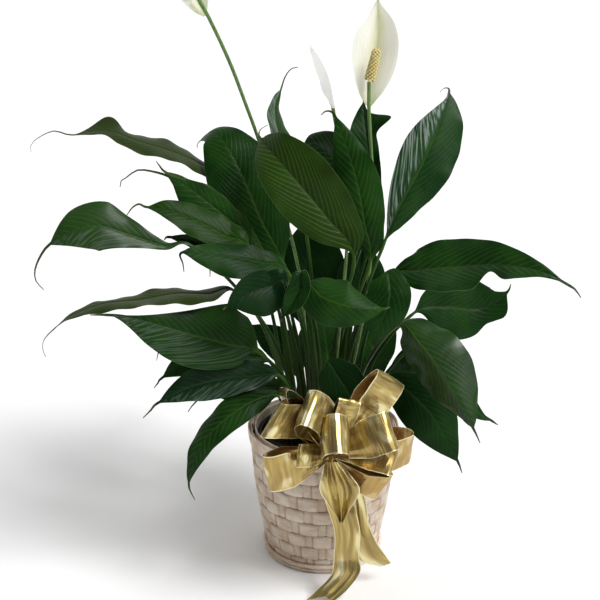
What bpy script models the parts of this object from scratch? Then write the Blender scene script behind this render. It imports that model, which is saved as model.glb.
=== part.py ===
"""A potted peace lily in a whitewashed woven basket, tied with a gold ribbon bow.

Every leaf is one blade on its stem, lofted along its midrib. The origin is the middle of the
basket's base, on the floor, with +Z up and the bow facing -Y. Lengths are metres.
"""

import math
import random

import bpy
import bmesh
from mathutils import Vector

CM = 0.01
MM = 0.001
GAP = 0.3 * MM

# The basket: a tapered wall of chip wood woven over upright stakes.
BASKET_HEIGHT = 160 * MM
BASKET_RIM_RADIUS = 90 * MM
BASKET_TOP_RADIUS = 84 * MM
BASKET_BASE_RADIUS = 63.5 * MM
BASKET_SWELL = 4.2 * MM
BASKET_WALL = 2.4 * MM
BASKET_FLOOR = 3.0 * MM
STAKES = 30
WEAVER_ROWS = 9
WEAVE_RELIEF = 2.4 * MM
RIM_BAND_HEIGHT = 17 * MM
RIM_BAND_THICKNESS = 2.2 * MM
RIM_LINING_THICKNESS = 1.8 * MM
HOOP_RADIUS = 2.3 * MM
HOOP_HEIGHTS = (3.2 * MM, 8.4 * MM)
HOOP_SIDES = 4

# The nursery pot inside it, and the soil in that pot.
POT_TOP_RADIUS = 75 * MM
POT_BASE_RADIUS = 56 * MM
POT_WALL = 1.6 * MM
POT_TOP = 152 * MM
POT_BOTTOM = BASKET_FLOOR + GAP
POT_FLOOR = 2.0 * MM
POT_LIP = 2.2 * MM
POT_LIP_HEIGHT = 9 * MM
SOIL_TOP = 142 * MM
SOIL_LUMP = 2.6 * MM
STEM_DEPTH = 14 * MM

# Leaves and stems.
STEM_RADIUS = 2.4 * MM
STEM_NECK_RADIUS = 1.7 * MM
BLADE_THICKNESS = 0.9 * MM
MIDRIB_DEPTH = 1.2 * MM
TAIL_HALF_WIDTH = 0.9 * MM
BLADE_STATIONS = (0.07, 0.18, 0.31, 0.44, 0.57, 0.7, 0.82, 0.92, 1.0)
STEM_STATIONS = (0.38, 0.75)
ROUND_BASE = (2.0, 0.75)
DRAWN_TIP = (2.0, 1.05)
FOLD_SPREAD = 0.06
BLADE_CROWN = 0.16
WAVE_HEIGHT = 2.4 * MM
WAVES_PER_METRE = 10.7
NECK_END = 0.1
OPEN_BELOW = 8 * MM
HEADING_STEP = 2 * MM

# The ribbon of the bow.
RIBBON_THICKNESS = 0.8 * MM
KNOT_RADIUS = 10 * MM
LOOP_STATIONS = 8
TAIL_STEPS = 2
WIRE_RADIUS = 0.7 * MM
WIRE_SIDES = 4

# How finely the round pieces are faceted.
POT_COLUMNS = 22
HOLE_SIDES = 5
HOLE_RADIUS = 3.5 * MM

# The blooms.
STALK_RADIUS = 2.0 * MM
STALK_SIDES = 6
STALK_STEPS = 2
SPATHE_BASE = 2.5 * MM
SPATHE_WAVE = 1.5 * MM
SPATHE_STATIONS = (0.0, 0.06, 0.15, 0.27, 0.4, 0.52, 0.64, 0.76, 0.87, 0.95, 1.0)
SPADIX_RADIUS = 6.0 * MM
FLORETS_ROUND = 6
FLORET_ROWS = 5

# Where the eye of the photograph stands and looks, and its picture's scale in pixels.
EYE = Vector((0.0, -1.13, 0.70))
LOOKING_AT = Vector((-0.0275, 0.0, 0.315))
LENS_PIXELS = 1047.0
PICTURE_MIDDLE = 300.0

AHEAD = (LOOKING_AT - EYE).normalized()
RIGHT = AHEAD.cross(Vector((0.0, 0.0, 1.0))).normalized()
UPWARD = RIGHT.cross(AHEAD)


def seen(px, py, depth):
    """The place seen at a picture point, where depth is its Y in centimetres behind the axis."""
    ray = AHEAD * LENS_PIXELS + RIGHT * (px - PICTURE_MIDDLE) + UPWARD * (PICTURE_MIDDLE - py)
    return EYE + ray * ((depth * CM - EYE.y) / ray.y)


def at(x, y, z):
    """A place in centimetres."""
    return Vector((x, y, z)) * CM


# Leaves. root: degrees round the pot and centimetres from its middle.
# spine: the midrib from the blade's base to its tip. edges: the blade's left and right edge at
# its widest place, as seen on its upper face with the tip upwards. wide: where that place is, as
# a share of the blade's length. base and tip: the power and fullness of the outline on either
# side of it. right_side: the same three for a right half of another shape. folds: share of the
# length, half, rise in centimetres and added width. tail: the thin drip tip.
LEAVES = {
    "leaf_centre_big": dict(
        root=(-70, 1.1), wide=0.5, base=(2.0, 1.15), tip=(2.0, 0.75),
        right_side=(0.5, ROUND_BASE, (2.0, 0.75)),
        spine=[seen(354, 258, -3), seen(327, 218, -3), seen(299, 184, -2), seen(275, 156, 0),
               seen(261, 139, 3)],
        edges=(seen(273, 204, -3), seen(326, 160, -2.5)),
        tail=[seen(259, 134, 4.5), seen(261, 129, 5), seen(268, 125, 5.5)]),
    "leaf_left_upright": dict(
        root=(168, 1.1), wide=0.45,
        spine=[seen(283, 262, 2.5), seen(262, 222, 2.8), seen(246, 184, 3.3), seen(228, 148, 4.8),
               seen(213, 133, 6.6), seen(199, 142, 8.0)],
        edges=(seen(212, 200, 2.6), seen(277, 170, 5.2)),
        tail=[seen(197, 148, 8.2)]),
    "leaf_right_upright": dict(
        root=(-10, 1.1), wide=0.45,
        spine=[seen(370, 262, -1), seen(365, 225, -1), seen(358, 185, 0), seen(346, 145, 1.6),
               seen(335, 116, 2.6)],
        edges=(seen(336, 196, 0.2), seen(382, 186, 0.2)),
        tail=[seen(327, 111, 3), seen(321, 115, 3.2)]),
    "leaf_back_centre": dict(
        root=(66, 2.1), wide=0.5, across=3,
        spine=[seen(370, 212, 6), seen(352, 180, 6.3), seen(330, 155, 6.8), seen(312, 143, 8),
               seen(304, 144, 9)],
        edges=(seen(316, 176, 7), seen(340, 122, 6.5)),
        tail=[seen(300, 149, 9.4)]),
    "leaf_back_right": dict(
        root=(52, 3.2), wide=0.5,
        spine=[seen(376, 220, 8), seen(372, 180, 8.5), seen(367, 140, 9.5), seen(364, 116, 11),
               seen(364, 101, 12)],
        edges=(seen(348, 158, 9), seen(381, 164, 8.5)), folds=[(0.8, 1, 0.2, 1.9)],
        tail=[seen(364, 97, 12.4)]),
    "leaf_back_spike": dict(
        root=(110, 1.1), wide=0.62, across=3, base=(1.0, 1.0),
        spine=[seen(306, 232, 8), seen(292, 180, 9.4), seen(279, 135, 11), seen(275, 108, 12.5),
               seen(281, 89, 14)],
        edges=(seen(268, 122, 9.0), seen(284, 124, 13.4)),
        tail=[seen(285, 77, 14.6), seen(291, 69, 15), seen(298, 67, 15.4)]),
    "leaf_right_high": dict(
        root=(0, 2.1), wide=0.58, base=(2.0, 1.5), tip=(2.0, 1.5),
        right_side=(0.64, (2.0, 0.98), (2.0, 0.8)),
        spine=[seen(385, 241, 2), seen(401, 204, 2.4), seen(422, 165, 3.6), seen(438, 128, 5.6),
               seen(449, 93, 8)],
        edges=(seen(401, 148, 4.0), seen(460, 153, 5.4)),
        tail=[seen(445, 88, 8.6), seen(440, 92, 9)]),
    "leaf_right_long": dict(
        root=(-14, 3.2), wide=0.34, base=(2.0, 1.3), tip=(2.0, 1.7),
        right_side=(0.34, (2.0, 1.3), (2.0, 1.75)), folds=[(0.57, 1, 0.3, -0.5)],
        spine=[seen(390, 278, -3), seen(420, 271, -4), seen(460, 267, -5), seen(500, 265, -6.5),
               seen(540, 271, -8), seen(570, 286, -9)],
        edges=(seen(449, 239, -3), seen(450, 293, -7)),
        tail=[seen(577, 292, -9.3), seen(581, 298, -9.5)]),
    "leaf_right_back": dict(
        root=(14, 3.2), wide=0.45, base=(2.0, 1.2), right_side=(0.45, (2.0, 1.2), (2.0, 1.5)),
        folds=[(0.7, 1, 0.0, -0.15), (0.86, 1, 0.2, 0.2)],
        spine=[seen(414, 313, 1.6), seen(444, 307, 3), seen(474, 309, 4.4), seen(497, 302, 5),
               seen(508, 291, 5.4)],
        edges=(seen(474, 272, 5.8), seen(466, 341, 2.8)),
        tail=[seen(511, 284, 5.6)]),
    "leaf_right_droop": dict(
        root=(-38, 3.2), wide=0.42, tip=(2.0, 0.8), right_side=(0.4, ROUND_BASE, DRAWN_TIP),
        spine=[seen(398, 325, -5.5), seen(420, 344, -8), seen(441, 372, -10), seen(460, 404, -11.5),
               seen(473, 428, -12)],
        edges=(seen(460, 342, -7.5), seen(415, 373, -7.5)),
        tail=[seen(477, 436, -12), seen(480, 443, -12)]),
    "leaf_right_low": dict(
        root=(-28, 4.3), wide=0.45, across=3, tip=(2.0, 1.3), right_side=(0.45, ROUND_BASE, DRAWN_TIP),
        spine=[seen(386, 376, -4), seen(408, 391, -5.5), seen(430, 413, -6.5), seen(447, 440, -7),
               seen(458, 462, -7)],
        edges=(seen(445, 391, -5), seen(405, 426, -7)),
        tail=[seen(462, 473, -7)]),
    "leaf_right_tip": dict(
        root=(2, 4.3), wide=0.45, across=3, tip=(2.0, 1.6),
        right_side=(0.45, ROUND_BASE, DRAWN_TIP),
        spine=[seen(418, 345, 1), seen(440, 368, 1), seen(464, 396, 0.6), seen(482, 414, 0.2),
               seen(492, 421, 0)],
        edges=(seen(461, 377, 1.2), seen(440, 398, 0)),
        tail=[seen(498, 425, 0)]),
    "leaf_left_high": dict(
        root=(153, 3.1), wide=0.5, folds=[(0.82, 1, 0.8, 0.3)],
        spine=[seen(240, 196, 6.6), seen(210, 170, 5.8), seen(178, 154, 4.9), seen(140, 142, 4.0),
               seen(106, 131, 3.5), seen(72, 135, 3.0)],
        edges=(seen(161, 159.5, 2.3), seen(159, 140.5, 7)),
        tail=[seen(54, 131, 2.8), seen(38, 138, 2.6), seen(31, 145, 2.6), seen(31, 152, 2.6)]),
    "leaf_left_second": dict(
        root=(174, 3.2), wide=0.5, across=3,
        spine=[seen(252, 240, -0.4), seen(232, 222, -0.7), seen(209, 203, -1.1),
               seen(189, 188, -1.5), seen(170, 177, -1.8)],
        edges=(seen(190, 223, -1.9), seen(222, 196, -0.5)),
        tail=[seen(155, 172, -2), seen(138, 170, -2.2), seen(127, 177, -2.4),
              seen(121, 181, -2.5), seen(120, 187, -2.5)]),
    "leaf_left_behind": dict(
        root=(165, 2.1), wide=0.5, across=3,
        spine=[seen(250, 228, 0.8), seen(225, 208, 0.5), seen(198, 190, 0.1), seen(175, 177, -0.4),
               seen(164, 171, -0.5)],
        edges=(seen(203, 214, -0.8), seen(216, 192, 1.4)),
        tail=[seen(159, 165, -0.6), seen(156, 161, -0.6)]),
    "leaf_left_third": dict(
        root=(-176, 4.2), wide=0.5, across=3,
        spine=[seen(250, 250, -3.4), seen(225, 236, -3.6), seen(197, 221, -3.8),
               seen(168, 210, -4), seen(146, 207, -4.1)],
        edges=(seen(196, 238, -5.2), seen(202, 206, -2.4)),
        tail=[seen(139, 204, -4.2), seen(132, 208, -4.4), seen(127, 215, -4.5)]),
    "leaf_left_small": dict(
        root=(-150, 2.2), wide=0.5, across=3,
        spine=[seen(265, 262, -1.6), seen(235, 253, -2.1), seen(207, 245, -2.8), seen(182, 239, -3.4),
               seen(168, 237, -3.7)],
        edges=(seen(206, 256, -3.9), seen(211, 235, -2.6)),
        tail=[seen(164, 240, -3.8)]),
    "leaf_left_large": dict(
        root=(-161, 3.2), wide=0.62, base=(1.0, 1.7), tip=(2.0, 1.0),
        right_side=(0.62, (1.0, 1.7), (2.0, 1.3)),
        spine=[seen(196, 249, -6.4), seen(165, 246, -7), seen(130, 235, -7.6), seen(98, 226, -8.2),
               seen(70, 232, -8.8), seen(49, 245, -9)],
        edges=(seen(106, 252, -9.4), seen(99, 200, -6.6)),
        tail=[seen(40, 257, -9.2), seen(35, 270, -9.2), seen(36, 281, -9.2), seen(44, 290, -9.2)]),
    "leaf_left_broad": dict(
        root=(-140, 1.2), wide=0.5, across=3,
        spine=[seen(288, 272, -4.6), seen(262, 263, -6), seen(232, 257, -7), seen(202, 253, -7.6),
               seen(181, 253, -8)],
        edges=(seen(224, 277, -8.8), seen(234, 243, -5.6)),
        tail=[seen(183, 264, -8), seen(184, 272, -8)]),
    "leaf_left_long": dict(
        root=(-144, 3.2), wide=0.34, across=3,
        spine=[seen(238, 293, -6), seen(208, 294, -7), seen(175, 294, -8), seen(140, 300, -9),
               seen(104, 304, -10), seen(72, 316, -10.6), seen(54, 329, -11)],
        edges=(seen(177, 304, -10.4), seen(182, 288, -5.8)),
        tail=[seen(44, 340, -11.2), seen(43, 350, -11.2), seen(46, 357, -11.2)]),
    "leaf_left_wide": dict(
        root=(-126, 3.2), wide=0.46, tip=(2.0, 1.45), right_side=(0.27, (2.0, 0.6), (1.3, 2.0)),
        spine=[seen(258, 352, -6.6), seen(228, 345, -8), seen(196, 336, -9.4), seen(160, 325, -10.6),
               seen(128, 317, -11.8), seen(108, 315, -12.4)],
        edges=(seen(180, 365, -11.2), seen(226, 303, -6.4)),
        tail=[seen(90, 315, -12.8)]),
    "leaf_left_spike": dict(
        root=(-156, 4.4), wide=0.5, across=3,
        spine=[seen(270, 362, -3.6), seen(243, 356, -4.4), seen(214, 356, -5), seen(186, 363, -5.4),
               seen(162, 378, -5.6)],
        edges=(seen(213, 374, -6.4), seen(222, 338, -4)),
        tail=[seen(158, 383, -5.6), seen(154, 388, -5.6)]),
    "leaf_left_blue": dict(
        root=(-130, 4.3), wide=0.5, across=3,
        spine=[seen(280, 376, -6), seen(252, 376, -7), seen(220, 380, -8), seen(188, 389, -9),
               seen(158, 403, -9.6)],
        edges=(seen(222, 398, -9.4), seen(213, 361, -7.2)),
        tail=[seen(151, 410, -9.8), seen(143, 418, -9.8)]),
    "leaf_left_under": dict(
        root=(-143, 4.3), wide=0.5, across=3,
        spine=[seen(284, 390, -3.4), seen(258, 387, -4.4), seen(230, 388, -5.2), seen(207, 394, -5.6)],
        edges=(seen(243, 404, -6.0), seen(246, 370, -4.0)),
        tail=[seen(199, 399, -5.5), seen(192, 406, -5.5), seen(188, 412, -5.5)]),
    "leaf_left_droop": dict(
        root=(-118, 4.3), wide=0.36,
        spine=[seen(278, 396, -7.4), seen(252, 402, -9), seen(226, 419, -10.4), seen(204, 441, -11),
               seen(192, 467, -11.2), seen(189, 486, -11.2)],
        edges=(seen(235, 431, -11.2), seen(216, 408, -9)),
        tail=[seen(195, 500, -11.2)]),
    "leaf_front": dict(
        root=(-88, 2.1), wide=0.44, base=(2.0, 0.75),
        spine=[seen(307, 286, -9.6), seen(322, 297, -11.6), seen(343, 305, -12.6),
               seen(365, 309, -12.4), seen(383, 309, -11.6)],
        edges=(seen(347, 283, -10.4), seen(333, 328, -12.8)),
        tail=[seen(390, 307, -11.2)]),
    "leaf_right_hang": dict(
        root=(-40, 2.1), wide=0.45, across=3,
        spine=[seen(383, 275, -4.6), seen(390, 288, -6.4), seen(388, 306, -7.4), seen(380, 326, -7.8),
               seen(374, 342, -7.6)],
        edges=(seen(411, 300, -7), seen(364, 302, -6.6)),
        tail=[seen(371, 350, -7.2)]),
    "leaf_left_short": dict(
        root=(-115, 2.2), wide=0.5, across=3,
        spine=[seen(288, 284, -9.2), seen(271, 286, -10), seen(252, 292, -11), seen(236, 300, -11.8),
               seen(227, 306, -12.2)],
        edges=(seen(262, 318, -12), seen(254, 271, -10.2)),
        tail=[seen(223, 310, -12.4)]),
    "leaf_centre_curl": dict(
        root=(-100, 3.1), wide=0.5, across=3,
        spine=[seen(301, 275, -10.4), seen(300, 288, -11.4), seen(293, 303, -11.8),
               seen(283, 317, -12.0)],
        edges=(seen(306, 301, -12.6), seen(286, 290, -11.6)),
        tail=[seen(280, 323, -12.0)]),
    "leaf_bow": dict(
        root=(-85, 4.3), wide=0.45, across=3,
        spine=[seen(327, 362, -6), seen(338, 376, -6.8), seen(350, 394, -7.5), seen(361, 413, -7.8)],
        edges=(seen(358, 366, -6.8), seen(319, 390, -7)),
        tail=[seen(365, 419, -7.8)]),
    # Leaves glimpsed as dark shapes behind the stems, then leaves at the back.
    "leaf_inner_left": dict(
        root=(100, 5.5), wide=0.5, across=3,
        spine=[seen(303, 326, 6.6), seen(304, 298, 8), seen(306, 270, 9.4), seen(309, 240, 10.9),
               seen(311, 214, 12.2)],
        edges=(seen(280, 262, 9.6), seen(346, 264, 9.6)),
        tail=[seen(311, 208, 12.6)]),
    "leaf_inner_right": dict(
        root=(68, 5.4), wide=0.5, across=3,
        spine=[seen(360, 318, 6.8), seen(360, 298, 7.6), seen(360, 278, 8.4), seen(361, 256, 9.2),
               seen(362, 240, 9.8)],
        edges=(seen(337, 274, 8.4), seen(386, 270, 8.2)),
        tail=[seen(362, 236, 10)]),
    "leaf_inner_low": dict(
        root=(138, 4.3), wide=0.5, across=3,
        spine=[seen(298, 378, 4.9), seen(292, 358, 5.6), seen(282, 345, 6.4), seen(267, 335, 7.3),
               seen(251, 325, 8.3)],
        edges=(seen(266, 353, 6.5), seen(296, 336, 6.9)),
        tail=[seen(245, 320, 8.7)]),
    "leaf_inner_side": dict(
        root=(22, 5.4), wide=0.45, across=3,
        spine=[seen(388, 388, 3), seen(400, 375, 4), seen(414, 360, 5.6), seen(426, 345, 7.6),
               seen(434, 334, 9)],
        edges=(seen(400, 352, 6), seen(426, 372, 5)),
        tail=[seen(437, 330, 9.6)]),
    "leaf_rear_left": dict(
        root=(126, 3.2), wide=0.5, across=3,
        spine=[at(-7, 11, 35), at(-10, 16, 38), at(-13, 21, 37), at(-15, 25, 33), at(-16, 28, 28)],
        edges=(at(-15.5, 18, 36.5), at(-9, 21.5, 36)),
        tail=[at(-16.3, 29, 25)]),
    "leaf_rear_right": dict(
        root=(45, 4.2), wide=0.5, across=3,
        spine=[seen(366, 392, 5.2), seen(371, 365, 7), seen(375, 340, 9.5), seen(376, 318, 12),
               seen(375, 305, 15)],
        edges=(seen(351, 346, 10), seen(396, 343, 8)),
        tail=[seen(375, 300, 17)]),
    "leaf_rear_low": dict(
        root=(95, 4.2), wide=0.5, across=3,
        spine=[seen(332, 390, 6), seen(329, 365, 8), seen(326, 340, 11), seen(324, 318, 14),
               seen(323, 303, 17)],
        edges=(seen(298, 345, 11), seen(354, 345, 10.5)),
        tail=[seen(323, 298, 19)]),
    "leaf_rear_side": dict(
        root=(150, 4.3), wide=0.5, across=3,
        spine=[at(-11, 7, 23), at(-15, 10, 25), at(-19, 13, 23), at(-21.5, 15, 19.5)],
        edges=(at(-18.4, 9, 23), at(-15.6, 15, 23)),
        tail=[at(-22.2, 15.6, 17.5)]),
}

# The blooms: each has its stalk's way above the soil, its spathe's spine and edges as a leaf has
# them, and its spadix from foot to tip.
BLOOMS = {
    "bloom_main": dict(
        root=(28, 2.1), wide=0.55,
        stalk=[seen(366, 300, 2.4), seen(373, 200, 2.8), seen(371, 150, 3), seen(369, 110, 3),
               seen(369, 82, 2.6)],
        spine=[seen(369, 107, 3.7), seen(370, 92, 4.0), seen(375, 55, 4.4), seen(379, 25, 4.6),
               seen(378, 8, 4.2), seen(378, 0, 3.8)],
        edges=(seen(353, 46, 3.1), seen(400, 44, 3.1)),
        spadix=(seen(369.5, 80, 2.6), seen(377, 49, 2.2))),
    "bloom_side": dict(
        root=(50, 1.1), wide=0.5,
        stalk=[seen(346, 260, 3.4), seen(345, 200, 3.6), seen(343, 152, 3.8), seen(337, 130, 4),
               seen(333, 108, 4.2), seen(332, 98, 4.4)],
        spine=[seen(334, 108, 3.5), seen(333, 96, 3.1), seen(329, 78, 3.0), seen(321, 60, 3.4),
               seen(310, 44, 4.2)],
        edges=(seen(319, 80, 4.8), seen(338, 76, 4.8)),
        spadix=(seen(331.5, 96, 4.5), seen(327, 72, 4.9))),
    "bloom_tall": dict(
        root=(138, 2.1), wide=0.5,
        stalk=[seen(303, 300, 4.4), seen(297, 262, 5.6), seen(288, 226, 6.5), seen(272, 180, 7.0),
               seen(257, 135, 6.7), seen(246, 105, 5.3), seen(230, 63, 3.1), seen(210, 20, 1.3),
               seen(199, 0, 1.0), seen(194, -10, 0.9)],
        spine=[seen(205, 16, 1.8), seen(196, -2, 2.0), seen(184, -34, 2.2), seen(174, -62, 2.0),
               seen(166, -84, 1.4)],
        edges=(seen(167, -22, 1.0), seen(203, -42, 1.6)),
        spadix=(seen(193.5, -12, 0.9), seen(181, -40, 0.3))),
}

# The bow: the knot, and for each loop its far end, the way across its ribbon, how far it swells
# open, its width and how far its middle is bent aside, in centimetres.
KNOT = seen(330, 453, -11.5)
LOOPS = {
    "loop_left": dict(far=seen(271, 420, -15.4), axis=(0.05, 0.1, 1.0), swell=1.7, width=4.0,
                      bend=(0.4, 2.4, 0.6)),
    "loop_left_rear": dict(far=seen(283, 388, -10.4), axis=(0.25, -1.0, 0.35), swell=1.2, width=3.6),
    "loop_left_upper": dict(far=seen(308, 407, -15.4), axis=(0.05, 0.3, 1.0), swell=1.9, width=4.4,
                            bend=(0, 1.6, -0.4)),
    "loop_centre": dict(far=seen(337, 433, -16.6), axis=(0.0, 0.35, 0.94), swell=1.9, width=4.2),
    "loop_right": dict(far=seen(393, 430, -13.8), axis=(0.05, 0.3, 1.0), swell=1.7, width=4.2),
    "loop_right_rear": dict(far=seen(412, 447, -10.0), axis=(-0.15, -0.35, 1.0), swell=1.6, width=4.4),
    "loop_right_flat": dict(far=seen(394, 463, -13.4), axis=(0.0, 0.9, 0.35), swell=0.7, width=3.8),
    "loop_right_upper": dict(far=seen(391, 377, -10.0), axis=(0.75, 0.35, -0.55), swell=1.2, width=4.0),
    "loop_top": dict(far=seen(350, 400, -12.6), axis=(1.0, 0.1, 0.1), swell=0.8, width=2.4),
    "loop_left_lower": dict(far=seen(266, 474, -14.2), axis=(0.5, 0.15, -0.85), swell=1.2, width=4.2),
    "loop_left_small": dict(far=seen(298, 456, -15.4), axis=(0.25, 0.5, 0.8), swell=0.6, width=2.4),
    "loop_right_lower": dict(far=seen(384, 487, -12.6), axis=(-0.4, 0.1, -0.9), swell=0.9, width=3.8),
}
TAILS = {
    "bow_tail_front": dict(crease=0.14, rails=[
        (seen(325, 462, -13.4), seen(339, 462, -13.4)), (seen(321, 478, -13.8), seen(351, 476, -13.8)),
        (seen(320, 492, -14.0), seen(360, 491, -14.0)), (seen(330, 509, -13.8), seen(352, 508, -13.8)),
        (seen(339.5, 523, -13.6), seen(342.5, 523, -13.6))]),
    "bow_tail_long": dict(crease=-0.05, notch=8 * MM, rails=[
        (seen(324, 470, -10.6), seen(338, 470, -10.6)), (seen(324, 496, -10.8), seen(352, 498, -10.8)),
        (seen(334, 530, -11.2), seen(360, 530, -11.2)), (seen(334, 556, -11.4), seen(359, 556, -11.4)),
        (seen(331, 575, -11.8), seen(360, 572, -11.9)), (seen(317, 590, -12.2), seen(347, 590, -12.6)),
        (seen(306, 600, -12.6), seen(333, 602, -13.1))]),
    "bow_tail_short": dict(crease=0.06, rails=[
        (seen(342, 472, -9.8), seen(354, 470, -9.8)), (seen(345, 500, -9.9), seen(365, 498, -9.8)),
        (seen(348, 528, -9.8), seen(369, 524, -9.6)), (seen(352, 549, -9.5), seen(376, 541, -9.1)),
        (seen(361, 561, -9.2), seen(384, 553, -8.6)), (seen(380, 566, -8.6), seen(391, 563, -8.2))]),
}
WIRE_ROUTE = [KNOT + Vector((0, 10.4, -1)) * MM, KNOT + Vector((0, 18, -9)) * MM,
              Vector((KNOT.x, -0.0925, BASKET_HEIGHT + 4.6 * MM)),
              Vector((KNOT.x, -0.083, BASKET_HEIGHT + 4.4 * MM)),
              Vector((KNOT.x, -0.0735, BASKET_HEIGHT - 2.0 * MM))]


def clear_scene():
    for old in list(bpy.data.objects):
        bpy.data.objects.remove(old, do_unlink=True)


def material(name, colour, roughness, metallic=0.0):
    made = bpy.data.materials.new(name)
    made.use_nodes = True
    shader = made.node_tree.nodes["Principled BSDF"]
    shader.inputs["Base Color"].default_value = (*colour, 1.0)
    shader.inputs["Roughness"].default_value = roughness
    shader.inputs["Metallic"].default_value = metallic
    return made


def add_object(name, verts, faces, look, smooth=True):
    mesh = bpy.data.meshes.new(name)
    mesh.from_pydata([tuple(v) for v in verts], [], faces)
    shape = bmesh.new()
    shape.from_mesh(mesh)
    bmesh.ops.recalc_face_normals(shape, faces=shape.faces)
    if shape.calc_volume(signed=True) < 0:
        bmesh.ops.reverse_faces(shape, faces=shape.faces)
    shape.to_mesh(mesh)
    shape.free()
    made = bpy.data.objects.new(name, mesh)
    bpy.context.scene.collection.objects.link(made)
    mesh.materials.append(look)
    if smooth:
        mesh.shade_smooth()
        mesh.set_sharp_from_angle(angle=math.radians(40))
    return made


def smooth_curve(points, steps=12):
    """A curve through all points, with its own points evenly spread in each span."""
    padded = [points[0] * 2 - points[1], *points, points[-1] * 2 - points[-2]]
    curve = []
    for k in range(1, len(padded) - 2):
        a, b, c, d = padded[k - 1:k + 3]
        for step in range(steps):
            t = step / steps
            curve.append(0.5 * (2 * b + (c - a) * t + (2 * a - 5 * b + 4 * c - d) * t ** 2
                                + (3 * b - a - 3 * c + d) * t ** 3))
    curve.append(points[-1].copy())
    return curve


def lengths_along(curve):
    total = [0.0]
    for before, after in zip(curve, curve[1:]):
        total.append(total[-1] + (after - before).length)
    return total


def point_at(curve, total, distance):
    for k in range(1, len(curve)):
        if distance <= total[k] or k == len(curve) - 1:
            share = (distance - total[k - 1]) / max(total[k] - total[k - 1], 1e-9)
            return curve[k - 1].lerp(curve[k], min(max(share, 0.0), 1.0))


def directions(points):
    found = []
    for k in range(len(points)):
        before, after = points[max(k - 1, 0)], points[min(k + 1, len(points) - 1)]
        found.append((after - before).normalized())
    return found


def turned_along(vector, headings, start):
    """A vector at one station, carried along to every station without twisting."""
    carried = [vector.copy() for _ in headings]
    for order in (range(start + 1, len(headings)), range(start - 1, -1, -1)):
        last = start
        for k in order:
            turn = headings[last].rotation_difference(headings[k])
            carried[k] = turn @ carried[last]
            last = k
    return carried


def blade_share(t, wide, base, tip):
    """How wide one side of a blade is at t along it, as a share of its widest place."""
    if t <= wide:
        power, fullness = base
        return max(1 - ((wide - t) / wide) ** power, 0.0) ** fullness
    power, fullness = tip
    return max(1 - ((t - wide) / (1 - wide)) ** power, 0.0) ** fullness


def blade_sides(points, headings, stations, edges, wides):
    """The left and right half widths, carried from the widest place of each to every station."""
    sides = []
    for edge, wide in zip(edges, wides):
        widest = min((k for k, t in enumerate(stations) if t is not None),
                     key=lambda k: abs(stations[k] - wide))
        reach = edge - points[widest]
        reach -= headings[widest] * reach.dot(headings[widest])
        sides.append(turned_along(reach, headings, widest))
    return sides


def joined_rings(rings):
    """Vertices and triangles of closed rings of one even size, whose first half is the upper face.

    Upper and lower faces are split alike, and each end is closed in strips from face to face.
    """
    size = len(rings[0])
    half = size // 2
    verts = [v for ring in rings for v in ring]
    faces = []
    for j in range(len(rings) - 1):
        here, there = j * size, (j + 1) * size
        for i in range(size):
            n = (i + 1) % size
            if i < half:
                faces.append((here + i, here + n, there + n))
                faces.append((here + i, there + n, there + i))
            else:
                faces.append((here + i, here + n, there + i))
                faces.append((here + n, there + n, there + i))
    last = (len(rings) - 1) * size
    for i in range(half - 1):
        a, b, c, d = i, i + 1, size - 2 - i, size - 1 - i
        faces += [(a, c, b), (a, d, c)]
        faces += [(last + a, last + b, last + c), (last + a, last + c, last + d)]
    return verts, faces


def stem_ring(middle, side, normal, radius, count):
    """A ring round a stem, whose points match the upper and lower points of a blade."""
    ring = []
    for k in range(2 * count):
        angle = math.pi - math.pi * (k + 0.5) / count
        ring.append(middle + side * (radius * math.cos(angle)) + normal * (radius * math.sin(angle)))
    return ring


def opened(left, right):
    """Opens the fold between a blade's two halves where they are narrow, as at its tip."""
    side = (right - left).normalized()
    halves = []
    for half, out in ((left, -side), (right, side)):
        width = half.length
        folded = min(width / OPEN_BELOW, 1.0)
        halves.append(out.lerp(half / width, folded).normalized() * width)
    return halves


def blade_ring(middle, heading, left, right, wave, rib, count):
    """A ring round the blade: its upper face from left to right, then its lower face back."""
    normal_left = heading.cross(left).normalized()
    normal_right = right.cross(heading).normalized()
    normal_middle = (normal_left + normal_right).normalized()
    upper, lower = [], []
    per_side = (count - 1) // 2
    for k in range(count):
        u = (k - per_side) / per_side
        half, normal = (left, normal_left) if u < 0 else (right, normal_right)
        reach = abs(u)
        if u == 0:
            normal = normal_middle
        crown = BLADE_CROWN * half.length * reach * (1.25 - reach)
        place = middle + half * reach + normal * (crown + wave[u > 0] * reach ** 2)
        upper.append(place + normal * (BLADE_THICKNESS / 2))
        lower.append(place - normal * (BLADE_THICKNESS / 2 + (rib if u == 0 else 0.0)))
    return upper + lower[::-1]


def root_place(root, height):
    angle = math.radians(root[0])
    return Vector((root[1] * CM * math.cos(angle), root[1] * CM * math.sin(angle), height))


def stem_start(root):
    """The foot of a stem in the soil, and the place just above it that it rises to upright."""
    return root_place(root, SOIL_TOP - STEM_DEPTH), root_place(root, SOIL_TOP + 6 * MM)


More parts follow.
